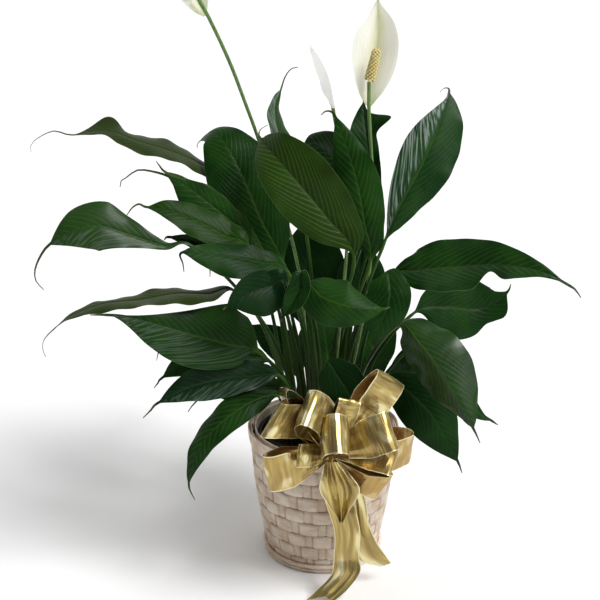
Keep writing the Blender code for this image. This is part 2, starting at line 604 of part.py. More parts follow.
def leaf_stations(root, spine, tail):
    """Places, headings and blade parameters along a leaf from its foot to the end of its tail."""
    low, top = stem_start(root)
    run = spine[0] - top
    bend = top + Vector((run.x * 0.36, run.y * 0.36, run.z * 0.60))
    steps = 12
    curve = smooth_curve([low, top, bend, *spine, *tail], steps)
    total = lengths_along(curve)
    top_at, base_at, tip_at = total[steps], total[3 * steps], total[(2 + len(spine)) * steps]
    stations = [(0.0, None), (top_at, None)]
    stations += [(top_at + (base_at - top_at) * share, None) for share in STEM_STATIONS]
    stations += [(base_at, 0.0)]
    stations += [(base_at + (tip_at - base_at) * t, t) for t in BLADE_STATIONS]
    stations += [((tip_at + total[-1]) / 2, 1.0), (total[-1], 1.0)]
    points = [point_at(curve, total, s) for s, _ in stations]
    headings = []
    for s, _ in stations:
        ahead = point_at(curve, total, min(s + HEADING_STEP, total[-1]))
        behind = point_at(curve, total, max(s - HEADING_STEP, 0.0))
        headings.append((ahead - behind).normalized())
    stem_shares = [min(max((s - top_at) / (base_at - top_at), 0.0), 1.0) for s, _ in stations]
    return points, headings, [t for _, t in stations], stem_shares, tip_at - base_at


def leaf_rings(root, spine, edges, tail, wide=0.45, base=ROUND_BASE, tip=DRAWN_TIP,
               right_side=None, folds=(), across=5, phase=0.0):
    points, headings, stations, stem_shares, length = leaf_stations(root, spine, tail)
    outlines = ((wide, base, tip), right_side or (wide, base, tip))
    left, right = blade_sides(points, headings, stations, edges, [o[0] for o in outlines])
    rings = []
    for k, t in enumerate(stations):
        side = (right[k] - left[k]).normalized()
        normal = side.cross(headings[k]).normalized()
        radius = STEM_RADIUS + (STEM_NECK_RADIUS - STEM_RADIUS) * stem_shares[k]
        if not t:
            rings.append(stem_ring(points[k], side, normal, radius, across))
            continue
        turn = 2 * math.pi * WAVES_PER_METRE * t * length + phase
        halves, waves = [], []
        for i, half in enumerate((left[k], right[k])):
            share = blade_share(t, *outlines[i])
            lift = WAVE_HEIGHT * min(1.0, 1.4 * share) * math.sin(turn * (1 + 0.13 * i) + 2.1 * i)
            for place, fold_side, raised, widened in folds:
                if fold_side == i and t < 1.0:
                    near = math.exp(-((t - place) / FOLD_SPREAD) ** 2)
                    lift += raised * CM * near
                    share += widened * near
            narrowest = TAIL_HALF_WIDTH * (1.0 if t < 1.0 else 0.8) / half.length
            halves.append(half * max(share, narrowest))
            waves.append(lift if t < 1.0 else 0.0)
        rib = MIDRIB_DEPTH * (1 - t) ** 1.5
        flat = blade_ring(points[k], headings[k], *opened(*halves), waves, rib, across)
        if t < NECK_END:
            neck = stem_ring(points[k], side, normal, STEM_NECK_RADIUS, across)
            flat = [a.lerp(b, t / NECK_END) for a, b in zip(neck, flat)]
        rings.append(flat)
    return rings


def make_leaf(name, spec, look, index):
    rings = leaf_rings(**spec, phase=index * 1.7)
    verts, faces = joined_rings(rings)
    return add_object(name, verts, faces, look)


def make_leaves():
    green = material("leaf green", (0.035, 0.115, 0.035), 0.38)
    for index, (name, spec) in enumerate(LEAVES.items()):
        make_leaf(name, spec, green, index)


def tube(points, radius, sides, steps):
    """Rings round a smooth curve through the points."""
    curve = smooth_curve(points, steps)
    headings = directions(curve)
    start = headings[0].cross(Vector((0.31, 0.95, 0.05))).normalized()
    rings = []
    for middle, heading, across in zip(curve, headings, turned_along(start, headings, 0)):
        normal = across.cross(heading).normalized()
        ring = []
        for i in range(sides):
            angle = 2 * math.pi * i / sides
            ring.append(middle + across * (radius * math.cos(angle))
                        + normal * (radius * math.sin(angle)))
        rings.append(ring)
    return rings


def make_stalk(name, spec, look):
    low, top = stem_start(spec["root"])
    rings = tube([low, top, *spec["stalk"]], STALK_RADIUS, STALK_SIDES, STALK_STEPS)
    del rings[:STALK_STEPS]
    rings.insert(0, [v + low - top for v in rings[0]])
    return add_object(name, *joined_rings(rings), look)


def spathe_rings(spine, edges, wide):
    """The hood of a bloom, from its narrow base to its drawn-out tip."""
    curve = smooth_curve(spine, 10)
    total = lengths_along(curve)
    places = [point_at(curve, total, total[-1] * t) for t in SPATHE_STATIONS]
    headings = directions(places)
    left, right = blade_sides(places, headings, SPATHE_STATIONS, edges, (wide, wide))
    rings = []
    for k, t in enumerate(SPATHE_STATIONS):
        least = SPATHE_BASE if t < 0.5 else TAIL_HALF_WIDTH
        share = blade_share(t, wide, ROUND_BASE, DRAWN_TIP)
        halves = [half * max(share, least / half.length) for half in (left[k], right[k])]
        swing = SPATHE_WAVE * share
        wave = (swing * math.sin(9 * t), swing * math.sin(8 * t + 2))
        rings.append(blade_ring(places[k], headings[k], *opened(*halves), wave, 0.0, 5))
    return rings


def spadix_shape(foot, tip, radius):
    """A club set with staggered florets, each a bump on its surface."""
    axis = tip - foot
    heading = axis.normalized()
    side = heading.cross(Vector((0.0, 1.0, 0.2))).normalized()
    normal = side.cross(heading)
    count = 2 * FLORETS_ROUND
    rows = 2 * FLORET_ROWS
    verts = []
    for row in range(rows + 1):
        t = row / rows
        girth = radius * (1 - 0.22 * t) * math.sqrt(max(1 - (2 * max(t - 0.86, 0) / 0.3) ** 2, 0.04))
        if row == 0:
            girth = radius * 0.62
        for i in range(count):
            inner = (i + row) % 2
            reach = girth * (0.86 if inner else 1.1)
            angle = 2 * math.pi * i / count
            verts.append(foot + axis * t + side * (reach * math.cos(angle))
                         + normal * (reach * math.sin(angle)))
    faces = []
    for row in range(rows):
        for i in range(count):
            a, b = row * count + i, row * count + (i + 1) % count
            c, d = b + count, a + count
            if (i + row) % 2:
                faces += [(a, b, d), (b, c, d)]
            else:
                faces += [(a, b, c), (a, c, d)]
    faces.append(tuple(range(count))[::-1])
    faces.append(tuple(rows * count + i for i in range(count)))
    return verts, faces


def make_blooms():
    stalk_green = material("stalk green", (0.22, 0.36, 0.12), 0.45)
    cream = material("spathe cream", (0.86, 0.85, 0.70), 0.5)
    yellow = material("spadix yellow", (0.80, 0.66, 0.34), 0.7)
    for name, spec in BLOOMS.items():
        make_stalk(name + "_stalk", spec, stalk_green)
        verts, faces = joined_rings(spathe_rings(spec["spine"], spec["edges"], spec["wide"]))
        add_object(name + "_spathe", verts, faces, cream)
        verts, faces = spadix_shape(*spec["spadix"], SPADIX_RADIUS)
        add_object(name + "_spadix", verts, faces, yellow)


def turned(profile, columns, closed=True):
    """A profile of (radius, height) pairs turned round Z. A radius of 0 is a point on the axis."""
    verts, rows = [], []
    for radius, height in profile:
        if radius == 0:
            rows.append([len(verts)] * columns)
            verts.append(Vector((0.0, 0.0, height)))
            continue
        rows.append([len(verts) + i for i in range(columns)])
        for i in range(columns):
            angle = 2 * math.pi * (i + 0.5) / columns
            verts.append(Vector((radius * math.cos(angle), radius * math.sin(angle), height)))
    pairs = list(zip(rows, rows[1:]))
    if closed:
        pairs.append((rows[-1], rows[0]))
    faces = []
    for lower, upper in pairs:
        for i in range(columns):
            j = (i + 1) % columns
            face = []
            for v in (lower[i], lower[j], upper[j], upper[i]):
                if v not in face:
                    face.append(v)
            if len(face) > 2:
                faces.append(tuple(face))
    return verts, faces


def wall_radius(height):
    """The basket wall's outer radius under the weavers."""
    share = height / BASKET_HEIGHT
    swell = BASKET_SWELL * math.sin(math.pi * share)
    return BASKET_BASE_RADIUS + (BASKET_TOP_RADIUS - BASKET_BASE_RADIUS) * share + swell


def make_basket():
    wood = material("whitewashed chip wood", (0.62, 0.50, 0.43), 0.75)
    top = BASKET_HEIGHT - 2 * MM
    row_height = top / WEAVER_ROWS
    levels = [0.0]
    for row in range(WEAVER_ROWS):
        levels += [(row + 0.5) * row_height, (row + 1) * row_height]
    inner_levels = (top, BASKET_FLOOR + 0.5 * top, BASKET_FLOOR)
    verts, rows = [], []
    for index, height in enumerate(levels):
        row = []
        for i in range(STAKES):
            over = index % 2 == 1 and (i + index // 2) % 2 == 0
            radius = wall_radius(height) + (WEAVE_RELIEF if over else 0.3 * WEAVE_RELIEF)
            if index in (0, len(levels) - 1):
                radius = wall_radius(height)
            angle = 2 * math.pi * (i + 0.5) / STAKES
            row.append(len(verts))
            verts.append(Vector((radius * math.cos(angle), radius * math.sin(angle), height)))
        rows.append(row)
    for height in inner_levels:
        radius = wall_radius(height) - BASKET_WALL
        row = []
        for i in range(STAKES):
            angle = 2 * math.pi * (i + 0.5) / STAKES
            row.append(len(verts))
            verts.append(Vector((radius * math.cos(angle), radius * math.sin(angle), height)))
        rows.append(row)
    faces = []
    for lower, upper in zip(rows, rows[1:]):
        for i in range(STAKES):
            j = (i + 1) % STAKES
            faces.append((lower[i], lower[j], upper[j]))
            faces.append((lower[i], upper[j], upper[i]))
    faces.append(tuple(rows[0][::-1]))
    faces.append(tuple(rows[-1]))
    add_object("basket_weave", verts, faces, wood)

    band_foot = BASKET_HEIGHT - RIM_BAND_HEIGHT
    inside_foot = wall_radius(band_foot) + WEAVE_RELIEF + GAP
    inside_top = BASKET_RIM_RADIUS - RIM_BAND_THICKNESS
    outer = [(inside_foot, band_foot), (inside_foot + RIM_BAND_THICKNESS, band_foot),
             (BASKET_RIM_RADIUS, BASKET_HEIGHT), (inside_top, BASKET_HEIGHT)]
    add_object("basket_rim_outer", *turned(outer, STAKES), wood)
    lining_top = wall_radius(BASKET_HEIGHT) - BASKET_WALL - GAP
    lining_foot = wall_radius(band_foot) - BASKET_WALL - 3 * GAP
    inner = [(lining_foot - RIM_LINING_THICKNESS, band_foot), (lining_foot, band_foot),
             (lining_top, BASKET_HEIGHT), (lining_top - RIM_LINING_THICKNESS, BASKET_HEIGHT)]
    add_object("basket_rim_inner", *turned(inner, STAKES), wood)
    withy = material("bottom withy", (0.55, 0.43, 0.35), 0.7)
    for name, height in zip(("basket_hoop_low", "basket_hoop_high"), HOOP_HEIGHTS):
        ring_radius = wall_radius(height) + WEAVE_RELIEF + HOOP_RADIUS + 2 * GAP
        section = []
        for k in range(HOOP_SIDES):
            angle = 2 * math.pi * k / HOOP_SIDES
            section.append((ring_radius + HOOP_RADIUS * math.cos(angle),
                            height + HOOP_RADIUS * math.sin(angle)))
        add_object(name, *turned(section, STAKES), withy)


def make_pot():
    plastic = material("nursery pot plastic", (0.02, 0.02, 0.02), 0.5)
    inner_floor = POT_BOTTOM + POT_FLOOR
    lip_foot = POT_TOP - POT_LIP_HEIGHT
    profile = [(0, POT_BOTTOM), (POT_BASE_RADIUS, POT_BOTTOM), (POT_TOP_RADIUS - 2 * GAP, lip_foot),
               (POT_TOP_RADIUS + POT_LIP, lip_foot), (POT_TOP_RADIUS + POT_LIP, POT_TOP),
               (POT_TOP_RADIUS - POT_WALL, POT_TOP),
               (POT_BASE_RADIUS - POT_WALL, inner_floor), (0, inner_floor)]
    add_object("grow_pot", *turned(profile, POT_COLUMNS, closed=False), plastic)


def pot_inside(height):
    low = POT_BOTTOM + POT_FLOOR
    share = (height - low) / (POT_TOP - low)
    return (POT_BASE_RADIUS + (POT_TOP_RADIUS - POT_BASE_RADIUS) * share) - POT_WALL


def make_soil():
    earth = material("soil", (0.035, 0.024, 0.018), 0.95)
    low = POT_BOTTOM + POT_FLOOR + GAP
    spread = random.Random(5)
    verts, rows = [Vector((0.0, 0.0, low))], []
    rows.append([0] * POT_COLUMNS)
    rings = [(pot_inside(low) - 2 * GAP, low, 0.0), (pot_inside(SOIL_TOP) - 2 * GAP, SOIL_TOP, 0.0)]
    for share in (0.8, 0.54, 0.27):
        rings.append((pot_inside(SOIL_TOP) * share, SOIL_TOP, SOIL_LUMP))
    for radius, height, lump in rings:
        row = []
        for i in range(POT_COLUMNS):
            angle = 2 * math.pi * (i + 0.5) / POT_COLUMNS
            row.append(len(verts))
            rise = lump * spread.uniform(-0.3, 1.0)
            verts.append(Vector((radius * math.cos(angle), radius * math.sin(angle), height + rise)))
        rows.append(row)
    rows.append([len(verts)] * POT_COLUMNS)
    verts.append(Vector((0.0, 0.0, SOIL_TOP + SOIL_LUMP)))
    faces = []
    for lower, upper in zip(rows, rows[1:]):
        for i in range(POT_COLUMNS):
            j = (i + 1) % POT_COLUMNS
            for corner in ((lower[i], lower[j], upper[j]), (lower[i], upper[j], upper[i])):
                if len(set(corner)) == 3:
                    faces.append(corner)
    soil = add_object("soil", verts, faces, earth)
    holes = bpy.data.collections.new("stem holes")
    bpy.context.scene.collection.children.link(holes)
    roots = [spec["root"] for spec in (*LEAVES.values(), *BLOOMS.values())]
    for root in roots:
        foot = root_place(root, SOIL_TOP - STEM_DEPTH - 1 * MM)
        ring = []
        for height in (foot.z, SOIL_TOP + 3 * SOIL_LUMP):
            for k in range(HOLE_SIDES):
                angle = 2 * math.pi * (k + 0.25) / HOLE_SIDES
                ring.append(Vector((foot.x + HOLE_RADIUS * math.cos(angle),
                                    foot.y + HOLE_RADIUS * math.sin(angle), height)))
        sides = [tuple(range(HOLE_SIDES))[::-1], tuple(range(HOLE_SIDES, 2 * HOLE_SIDES))]
        for k in range(HOLE_SIDES):
            n = (k + 1) % HOLE_SIDES
            sides.append((k, n, HOLE_SIDES + n, HOLE_SIDES + k))
        cutter = add_object("stem hole", ring, sides, earth, smooth=False)
        cutter.hide_render = True
        cutter.display_type = "WIRE"
        holes.objects.link(cutter)
        bpy.context.scene.collection.objects.unlink(cutter)
    apply_boolean(soil, holes, "DIFFERENCE")


def apply_boolean(target, group, operation):
    """Joins or cuts the target with every object of the group, then removes the group."""
    modifier = target.modifiers.new("joined", "BOOLEAN")
    modifier.operation = operation
    modifier.operand_type = "COLLECTION"
    modifier.collection = group
    modifier.solver = "EXACT"
    bpy.context.view_layer.update()
    graph = bpy.context.evaluated_depsgraph_get()
    result = bpy.data.meshes.new_from_object(target.evaluated_get(graph))
    target.modifiers.remove(modifier)
    target.data = result
    for other in list(group.objects):
        bpy.data.objects.remove(other, do_unlink=True)
    bpy.data.collections.remove(group)


def fill_pockets(mesh):
    """Drops the small closed pockets left inside a union, so that one outer surface remains."""
    shape = bmesh.new()
    shape.from_mesh(mesh)
    groups, met = [], set()
    for start in shape.verts:
        if start in met:
            continue
        met.add(start)
        group = [start]
        for v in group:
            for edge in v.link_edges:
                other = edge.other_vert(v)
                if other not in met:
                    met.add(other)
                    group.append(other)
        groups.append(group)
    largest = max(groups, key=len)
    spare = [v for group in groups if group is not largest for v in group]
    bmesh.ops.delete(shape, geom=spare, context="VERTS")
    shape.to_mesh(mesh)
    shape.free()


def strip_ring(middle, half, normal, crown=None):
    """Points round a ribbon: its outer face from edge to edge, then its inner face back."""
    lift = normal * (RIBBON_THICKNESS / 2)
    if crown is None:
        return [middle - half + lift, middle + half + lift, middle + half - lift,
                middle - half - lift]
    rise = normal * crown
    return [middle - half + lift, middle + rise + lift, middle + half + lift,
            middle + half - lift, middle + rise - lift, middle - half - lift]


def loop_rings(far, axis, swell, width, bend=(0, 0, 0)):
    """A teardrop loop of ribbon from the knot out to its far end and back."""
    out = far - KNOT
    reach = out.length
    heading = out.normalized()
    across = Vector(axis)
    across = (across - heading * across.dot(heading)).normalized()
    sideways = across.cross(heading)
    rings = []
    for k in range(LOOP_STATIONS + 1):
        turn = 2 * math.pi * (0.06 + 0.88 * k / LOOP_STATIONS)
        forward = reach * (1 - math.cos(turn)) / 2
        apart = swell * CM * math.sin(turn) * (0.45 + 0.55 * (1 - math.cos(turn)) / 2)
        sway = math.pi * forward / reach
        middle = KNOT + heading * forward + sideways * apart + Vector(bend) * (CM * math.sin(sway))
        slope = (heading * (reach * math.sin(turn) / 2)
                 + Vector(bend) * (CM * math.pi / 2 * math.cos(sway) * math.sin(turn))
                 + sideways * (swell * CM * math.cos(turn))).normalized()
        normal = across.cross(slope).normalized() * -1
        share = 0.24 + 0.76 * min(1.0, 1.5 * math.sin(turn / 2) ** 2)
        rings.append(strip_ring(middle, across * (width * CM / 2 * share), normal))
    return rings


def tail_rings(rails, notch=0.0, crease=0.0):
    """A ribbon tail between two rails of points, with a notch cut up into its end."""
    left = smooth_curve([pair[0] for pair in rails], TAIL_STEPS)
    right = smooth_curve([pair[1] for pair in rails], TAIL_STEPS)
    middles = [a.lerp(b, 0.5) for a, b in zip(left, right)]
    headings = directions(middles)
    rings = []
    for k, middle in enumerate(middles):
        half = (right[k] - left[k]) / 2
        normal = half.cross(headings[k]).normalized()
        ring = strip_ring(middle, half, normal, crease * half.length)
        if k == len(middles) - 1:
            for i in (1, 4):
                ring[i] = ring[i] - headings[k] * notch
        rings.append(ring)
    return rings


def make_bow():
    gold = material("gold ribbon", (0.72, 0.50, 0.16), 0.28, 0.9)
    parts = bpy.data.collections.new("ribbon loops")
    bpy.context.scene.collection.children.link(parts)
    for name, spec in LOOPS.items():
        verts, faces = joined_rings(loop_rings(**spec))
        loop = add_object(name, verts, faces, gold)
        loop.hide_render = True
        loop.display_type = "WIRE"
        parts.objects.link(loop)
        bpy.context.scene.collection.objects.unlink(loop)
    core = bmesh.new()
    bmesh.ops.create_uvsphere(core, u_segments=8, v_segments=5, radius=KNOT_RADIUS)
    verts = [v.co + KNOT for v in core.verts]
    faces = [tuple(v.index for v in f.verts) for f in core.faces]
    core.free()
    bow = add_object("bow_loops", verts, faces, gold)
    apply_boolean(bow, parts, "UNION")
    fill_pockets(bow.data)
    bow.data.shade_smooth()
    bow.data.set_sharp_from_angle(angle=math.radians(40))
    for name, spec in TAILS.items():
        verts, faces = joined_rings(tail_rings(**spec))
        add_object(name, verts, faces, gold)
    wire = material("tie wire", (0.05, 0.12, 0.05), 0.5)
    verts, faces = joined_rings(tube(WIRE_ROUTE, WIRE_RADIUS, WIRE_SIDES, 2))
    add_object("bow_wire", verts, faces, wire)


def main():
    clear_scene()
    make_leaves()
    make_blooms()
    make_basket()
    make_pot()
    make_soil()
    make_bow()


main()
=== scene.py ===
import math

import bpy
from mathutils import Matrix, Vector, noise


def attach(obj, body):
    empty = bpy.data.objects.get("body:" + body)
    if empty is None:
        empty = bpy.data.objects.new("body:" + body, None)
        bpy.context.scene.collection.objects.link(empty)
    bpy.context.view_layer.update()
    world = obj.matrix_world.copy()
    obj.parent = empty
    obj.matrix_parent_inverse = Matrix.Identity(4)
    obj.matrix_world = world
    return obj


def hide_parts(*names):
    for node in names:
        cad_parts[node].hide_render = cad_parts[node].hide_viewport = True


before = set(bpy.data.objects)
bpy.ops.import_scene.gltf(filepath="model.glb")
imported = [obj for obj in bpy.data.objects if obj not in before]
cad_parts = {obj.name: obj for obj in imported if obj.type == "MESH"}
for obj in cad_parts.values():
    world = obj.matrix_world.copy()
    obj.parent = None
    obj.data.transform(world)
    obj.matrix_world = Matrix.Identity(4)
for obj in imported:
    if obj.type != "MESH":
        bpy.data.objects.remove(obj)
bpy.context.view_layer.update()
scene = bpy.context.scene
cm, mm = 0.01, 0.001
print("frame loaded:", len(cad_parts), "nodes")

# The photograph's camera: where it stands, what it looks at and its scale in pixels.
cameraSetup = {
    "eye": (0.0, -1.13, 0.70),
    "lookingAt": (-0.0275, 0.0, 0.315),
    "lensPixels": 1047.0,
    "picturePixels": 600,
    "sensorWidth": 36.0,
}
eye = Vector(cameraSetup["eye"])
ahead = (Vector(cameraSetup["lookingAt"]) - eye).normalized()
rightward = ahead.cross(Vector((0.0, 0.0, 1.0))).normalized()
upward = rightward.cross(ahead)


def seen(px, py, depth):
    # the place seen at a picture point, with depth as its Y in centimetres
    middle = cameraSetup["picturePixels"] / 2
    ray = ahead * cameraSetup["lensPixels"] + rightward * (px - middle) + upward * (middle - py)
    return eye + ray * ((depth * cm - eye.y) / ray.y)


def at(x, y, z):
    return Vector((x, y, z)) * cm


def makeCamera():
    lens = bpy.data.cameras.new("camera")
    lens.sensor_width = cameraSetup["sensorWidth"]
    lens.lens = cameraSetup["lensPixels"] / cameraSetup["picturePixels"] * lens.sensor_width
    lens.clip_start, lens.clip_end = 0.02, 60.0
    camera = bpy.data.objects.new("camera", lens)
    camera.location = eye
    camera.rotation_euler = ahead.to_track_quat("-Z", "Y").to_euler()
    scene.collection.objects.link(camera)
    scene.camera = camera


makeCamera()


# Small helpers for node trees and meshes.
def treeOf(values):
    return next(value.id_data for value in values if isinstance(value, bpy.types.NodeSocket))


def wire(socket, value):
    if isinstance(value, bpy.types.NodeSocket):
        socket.id_data.links.new(value, socket)
    else:
        socket.default_value = value


def addNode(tree, kind, inputs=None, **settings):
    node = tree.nodes.new(kind)
    for name, value in settings.items():
        setattr(node, name, value)
    for name, value in (inputs or {}).items():
        wire(node.inputs[name], value)
    return node


def enabledSocket(sockets, name="Value"):
    return next(socket for socket in sockets if socket.name == name and socket.enabled)


def calc(operation, *values, kind="ShaderNodeMath"):
    node = addNode(treeOf(values), kind, operation=operation)
    for socket, value in zip(node.inputs, values):
        wire(socket, value)
    return node.outputs[0]


def plus(first, *others):
    for other in others:
        first = calc("ADD", first, other)
    return first


def times(first, *others):
    for other in others:
        first = calc("MULTIPLY", first, other)
    return first


def minus(first, second):
    return calc("SUBTRACT", first, second)


def over(first, second):
    return calc("DIVIDE", first, second)


def ease(value, low, high):
    # 0 below low, 1 above high, smooth between; low may be above high
    inputs = {"Value": value, "From Min": low, "From Max": high}
    node = addNode(value.id_data, "ShaderNodeMapRange", inputs, interpolation_type="SMOOTHSTEP")
    return node.outputs["Result"]


def mixColour(share, first, second):
    node = addNode(share.id_data, "ShaderNodeMix", data_type="RGBA")
    wire(node.inputs[0], share)
    for socket, colour in ((node.inputs[6], first), (node.inputs[7], second)):
        wire(socket, colour if isinstance(colour, bpy.types.NodeSocket) else (*colour, 1.0))
    return node.outputs[2]


def noiseAt(vector, scale, detail, roughness=0.5, distortion=0.0):
    return addNode(vector.id_data, "ShaderNodeTexNoise", {
        "Vector": vector, "Scale": scale, "Detail": detail, "Roughness": roughness,
        "Distortion": distortion}).outputs["Fac"]


def parts(vector):
    return addNode(vector.id_data, "ShaderNodeSeparateXYZ", {"Vector": vector}).outputs


def joinParts(*values):
    return addNode(treeOf(values), "ShaderNodeCombineXYZ", dict(zip("XYZ", values))).outputs[0]


def attribute(tree, name):
    return addNode(tree, "ShaderNodeAttribute", attribute_name=name).outputs["Vector"]


def objectPlace(tree):
    return addNode(tree, "ShaderNodeTexCoord").outputs["Object"]


def startMaterial(name, sockets):
    # sockets hold what is the same all over the surface
    made = bpy.data.materials.new(name)
    made.use_nodes = True
    shader = made.node_tree.nodes["Principled BSDF"]
    for key, value in sockets.items():
        shader.inputs[key].default_value = value
    return made, made.node_tree, shader


def bumpInto(shader, height, depth):
    inputs = {"Height": height, "Distance": depth, "Strength": 1.0}
    bump = addNode(shader.id_data, "ShaderNodeBump", inputs)
    wire(shader.inputs["Normal"], bump.outputs["Normal"])


def finishSurface(shader, colour, rough, grain, height=None, depth=0.0):
    # rough: the least roughness, and what the grain adds to it
    wire(shader.inputs["Base Color"], colour)
    wire(shader.inputs["Roughness"], plus(rough[0], times(grain, rough[1])))
    if height is not None:
        bumpInto(shader, height, depth)


def startGroup(name, inputs, outputs, kind="ShaderNodeTree"):
    tree = bpy.data.node_groups.new(name, kind)
    for label, socketKind, value in inputs:
        socket = tree.interface.new_socket(label, in_out="INPUT", socket_type="NodeSocket" + socketKind)
        if value is not None:
            socket.default_value = value
    for label, socketKind in outputs:
        tree.interface.new_socket(label, in_out="OUTPUT", socket_type="NodeSocket" + socketKind)
    return tree, tree.nodes.new("NodeGroupInput").outputs, tree.nodes.new("NodeGroupOutput").inputs


def placeGroup(tree, group, inputs, kind="ShaderNodeGroup"):
    return addNode(tree, kind, inputs, node_tree=group).outputs


def meshObject(name, verts, faces, material=None, values=None):
    # values: name of a vector attribute -> one vector for each vertex
    mesh = bpy.data.meshes.new(name)
    mesh.from_pydata([tuple(v) for v in verts], [], faces)
    for label, rows in (values or {}).items():
        layer = mesh.attributes.new(label, "FLOAT_VECTOR", "POINT")
        layer.data.foreach_set("vector", [x for row in rows for x in row])
    mesh.shade_smooth()
    mesh.set_sharp_from_angle(angle=math.radians(50))
    if material:
        mesh.materials.append(material)
    made = bpy.data.objects.new(name, mesh)
    scene.collection.objects.link(made)
    return made


def finishGrown(geometry, look):
    # how every Geometry Nodes tree here ends
    real = addNode(geometry.id_data, "GeometryNodeRealizeInstances", {"Geometry": geometry})
    inputs = {"Geometry": real.outputs[0], "Material": look}
    return addNode(geometry.id_data, "GeometryNodeSetMaterial", inputs).outputs[0]


def grow(piece, tree, settings):
    # runs a Geometry Nodes tree with these settings and keeps the result as a plain mesh
    modifier = piece.modifiers.new("grown", "NODES")
    modifier.node_group = tree
    for item in tree.interface.items_tree:
        if item.item_type == "SOCKET" and item.in_out == "INPUT" and item.name in settings:
            modifier[item.identifier] = settings[item.name]
    graph = bpy.context.evaluated_depsgraph_get()
    mesh = bpy.data.meshes.new_from_object(piece.evaluated_get(graph), depsgraph=graph)
    piece.modifiers.clear()
    piece.data = mesh
    return piece


def settle(piece, slot, *nodes):
    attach(piece, "root")
    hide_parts(*nodes)
    return piece


# Curves and frames along them.
def smoothCurve(points, steps=12):
    padded = [points[0] * 2 - points[1], *points, points[-1] * 2 - points[-2]]
    curve = []
    for k in range(1, len(padded) - 2):
        a, b, c, d = padded[k - 1:k + 3]
        for step in range(steps):
            t = step / steps
            curve.append(0.5 * (2 * b + (c - a) * t + (2 * a - 5 * b + 4 * c - d) * t ** 2
                                + (3 * b - a - 3 * c + d) * t ** 3))
    curve.append(points[-1].copy())
    return curve


def lengthsAlong(curve):
    total = [0.0]
    for before, after in zip(curve, curve[1:]):
        total.append(total[-1] + (after - before).length)
    return total


def pointAt(curve, total, distance):
    k = 1
    while k < len(curve) - 1 and distance > total[k]:
        k += 1
    share = (distance - total[k - 1]) / max(total[k] - total[k - 1], 1e-9)
    return curve[k - 1].lerp(curve[k], min(max(share, 0.0), 1.0))


def around(radius, angle, height):
    return radius * math.cos(angle), radius * math.sin(angle), height


def directions(points):
    last = len(points) - 1
    return [(points[min(k + 1, last)] - points[max(k - 1, 0)]).normalized() for k in range(last + 1)]


def turnedAlong(vector, headings, start):
    # a vector at one station, carried to every other one without twisting
    carried = [vector.copy() for _ in headings]
    for order in (range(start + 1, len(headings)), range(start - 1, -1, -1)):
        last = start
        for k in order:
            carried[k] = headings[last].rotation_difference(headings[k]) @ carried[last]
            last = k
    return carried


def smooth(value, low, high):
    share = min(max((value - low) / (high - low), 0.0), 1.0)
    return share * share * (3 - 2 * share)


def joinRings(rings):
    # a closed skin through rings of one even size, whose first half is the upper face
    size = len(rings[0])
    half = size // 2
    verts = [v for ring in rings for v in ring]
    faces = []
    for j in range(len(rings) - 1):
        here, there = j * size, (j + 1) * size
        for i in range(size):
            n = (i + 1) % size
            faces.append((here + i, here + n, there + n, there + i))
    last = (len(rings) - 1) * size
    for i in range(half - 1):
        a, b, c, d = i, i + 1, size - 2 - i, size - 1 - i
        faces.append((a, d, c, b))
        faces.append((last + a, last + b, last + c, last + d))
    return verts, faces


def joinRows(rows):
    # faces between rows of vertex numbers that close on themselves; a row on the axis is one number
    faces = []
    for lower, upper in zip(rows, rows[1:]):
        for j in range(len(lower)):
            n = (j + 1) % len(lower)
            corners = dict.fromkeys((lower[j], lower[n], upper[n], upper[j]))
            faces.append(tuple(corners))
    return faces


def tubeRings(points, radius, sides, steps):
    curve = smoothCurve(points, steps)
    headings = directions(curve)
    start = headings[0].cross(Vector((0.31, 0.95, 0.05))).normalized()
    rings = []
    for middle, heading, across in zip(curve, headings, turnedAlong(start, headings, 0)):
        normal = across.cross(heading)
        angles = [2 * math.pi * i / sides for i in range(sides)]
        rings.append([middle + across * (radius * math.cos(a)) + normal * (radius * math.sin(a))
                      for a in angles])
    return rings


# Surface effects that several materials share.
def makeMottle():
    # soft blotches and a fine grain
    tree, given, out = startGroup(
        "mottle",
        [("Vector", "Vector", None), ("Blotches per Metre", "Float", 40.0),
         ("Grains per Metre", "Float", 900.0), ("Contrast", "Float", 0.2)],
        [("Blotches", "Float"), ("Grain", "Float")])
    broad = noiseAt(given["Vector"], given["Blotches per Metre"], 3.0, 0.55)
    low, high = minus(0.5, given["Contrast"]), plus(0.5, given["Contrast"])
    wire(out["Blotches"], ease(broad, low, high))
    wire(out["Grain"], noiseAt(given["Vector"], given["Grains per Metre"], 2.0, 0.6))
    return tree


def makeStreaks():
    # fibres drawn out along one way of a piece: the per-metre scales differ along X, Y and Z
    tree, given, out = startGroup(
        "streaks",
        [("Vector", "Vector", None), ("Stretch", "Vector", (60.0, 60.0, 800.0)),
         ("Sharpness", "Float", 0.12)],
        [("Streaks", "Float"), ("Fibres", "Float")])
    place = calc("MULTIPLY", given["Vector"], given["Stretch"], kind="ShaderNodeVectorMath")
    broad = noiseAt(place, 1.0, 4.0, 0.6, 0.4)
    low, high = minus(0.5, given["Sharpness"]), plus(0.5, given["Sharpness"])
    wire(out["Streaks"], ease(broad, low, high))
    wire(out["Fibres"], noiseAt(place, 2.7, 3.0, 0.7))
    return tree


def mottled(tree, blotches, grains, contrast):
    return placeGroup(tree, mottle, {
        "Vector": objectPlace(tree), "Blotches per Metre": blotches, "Grains per Metre": grains,
        "Contrast": contrast})


def streaked(tree, stretch, sharpness):
    return placeGroup(tree, streaks, {
        "Vector": objectPlace(tree), "Stretch": stretch, "Sharpness": sharpness})


mottle = makeMottle()
streaks = makeStreaks()


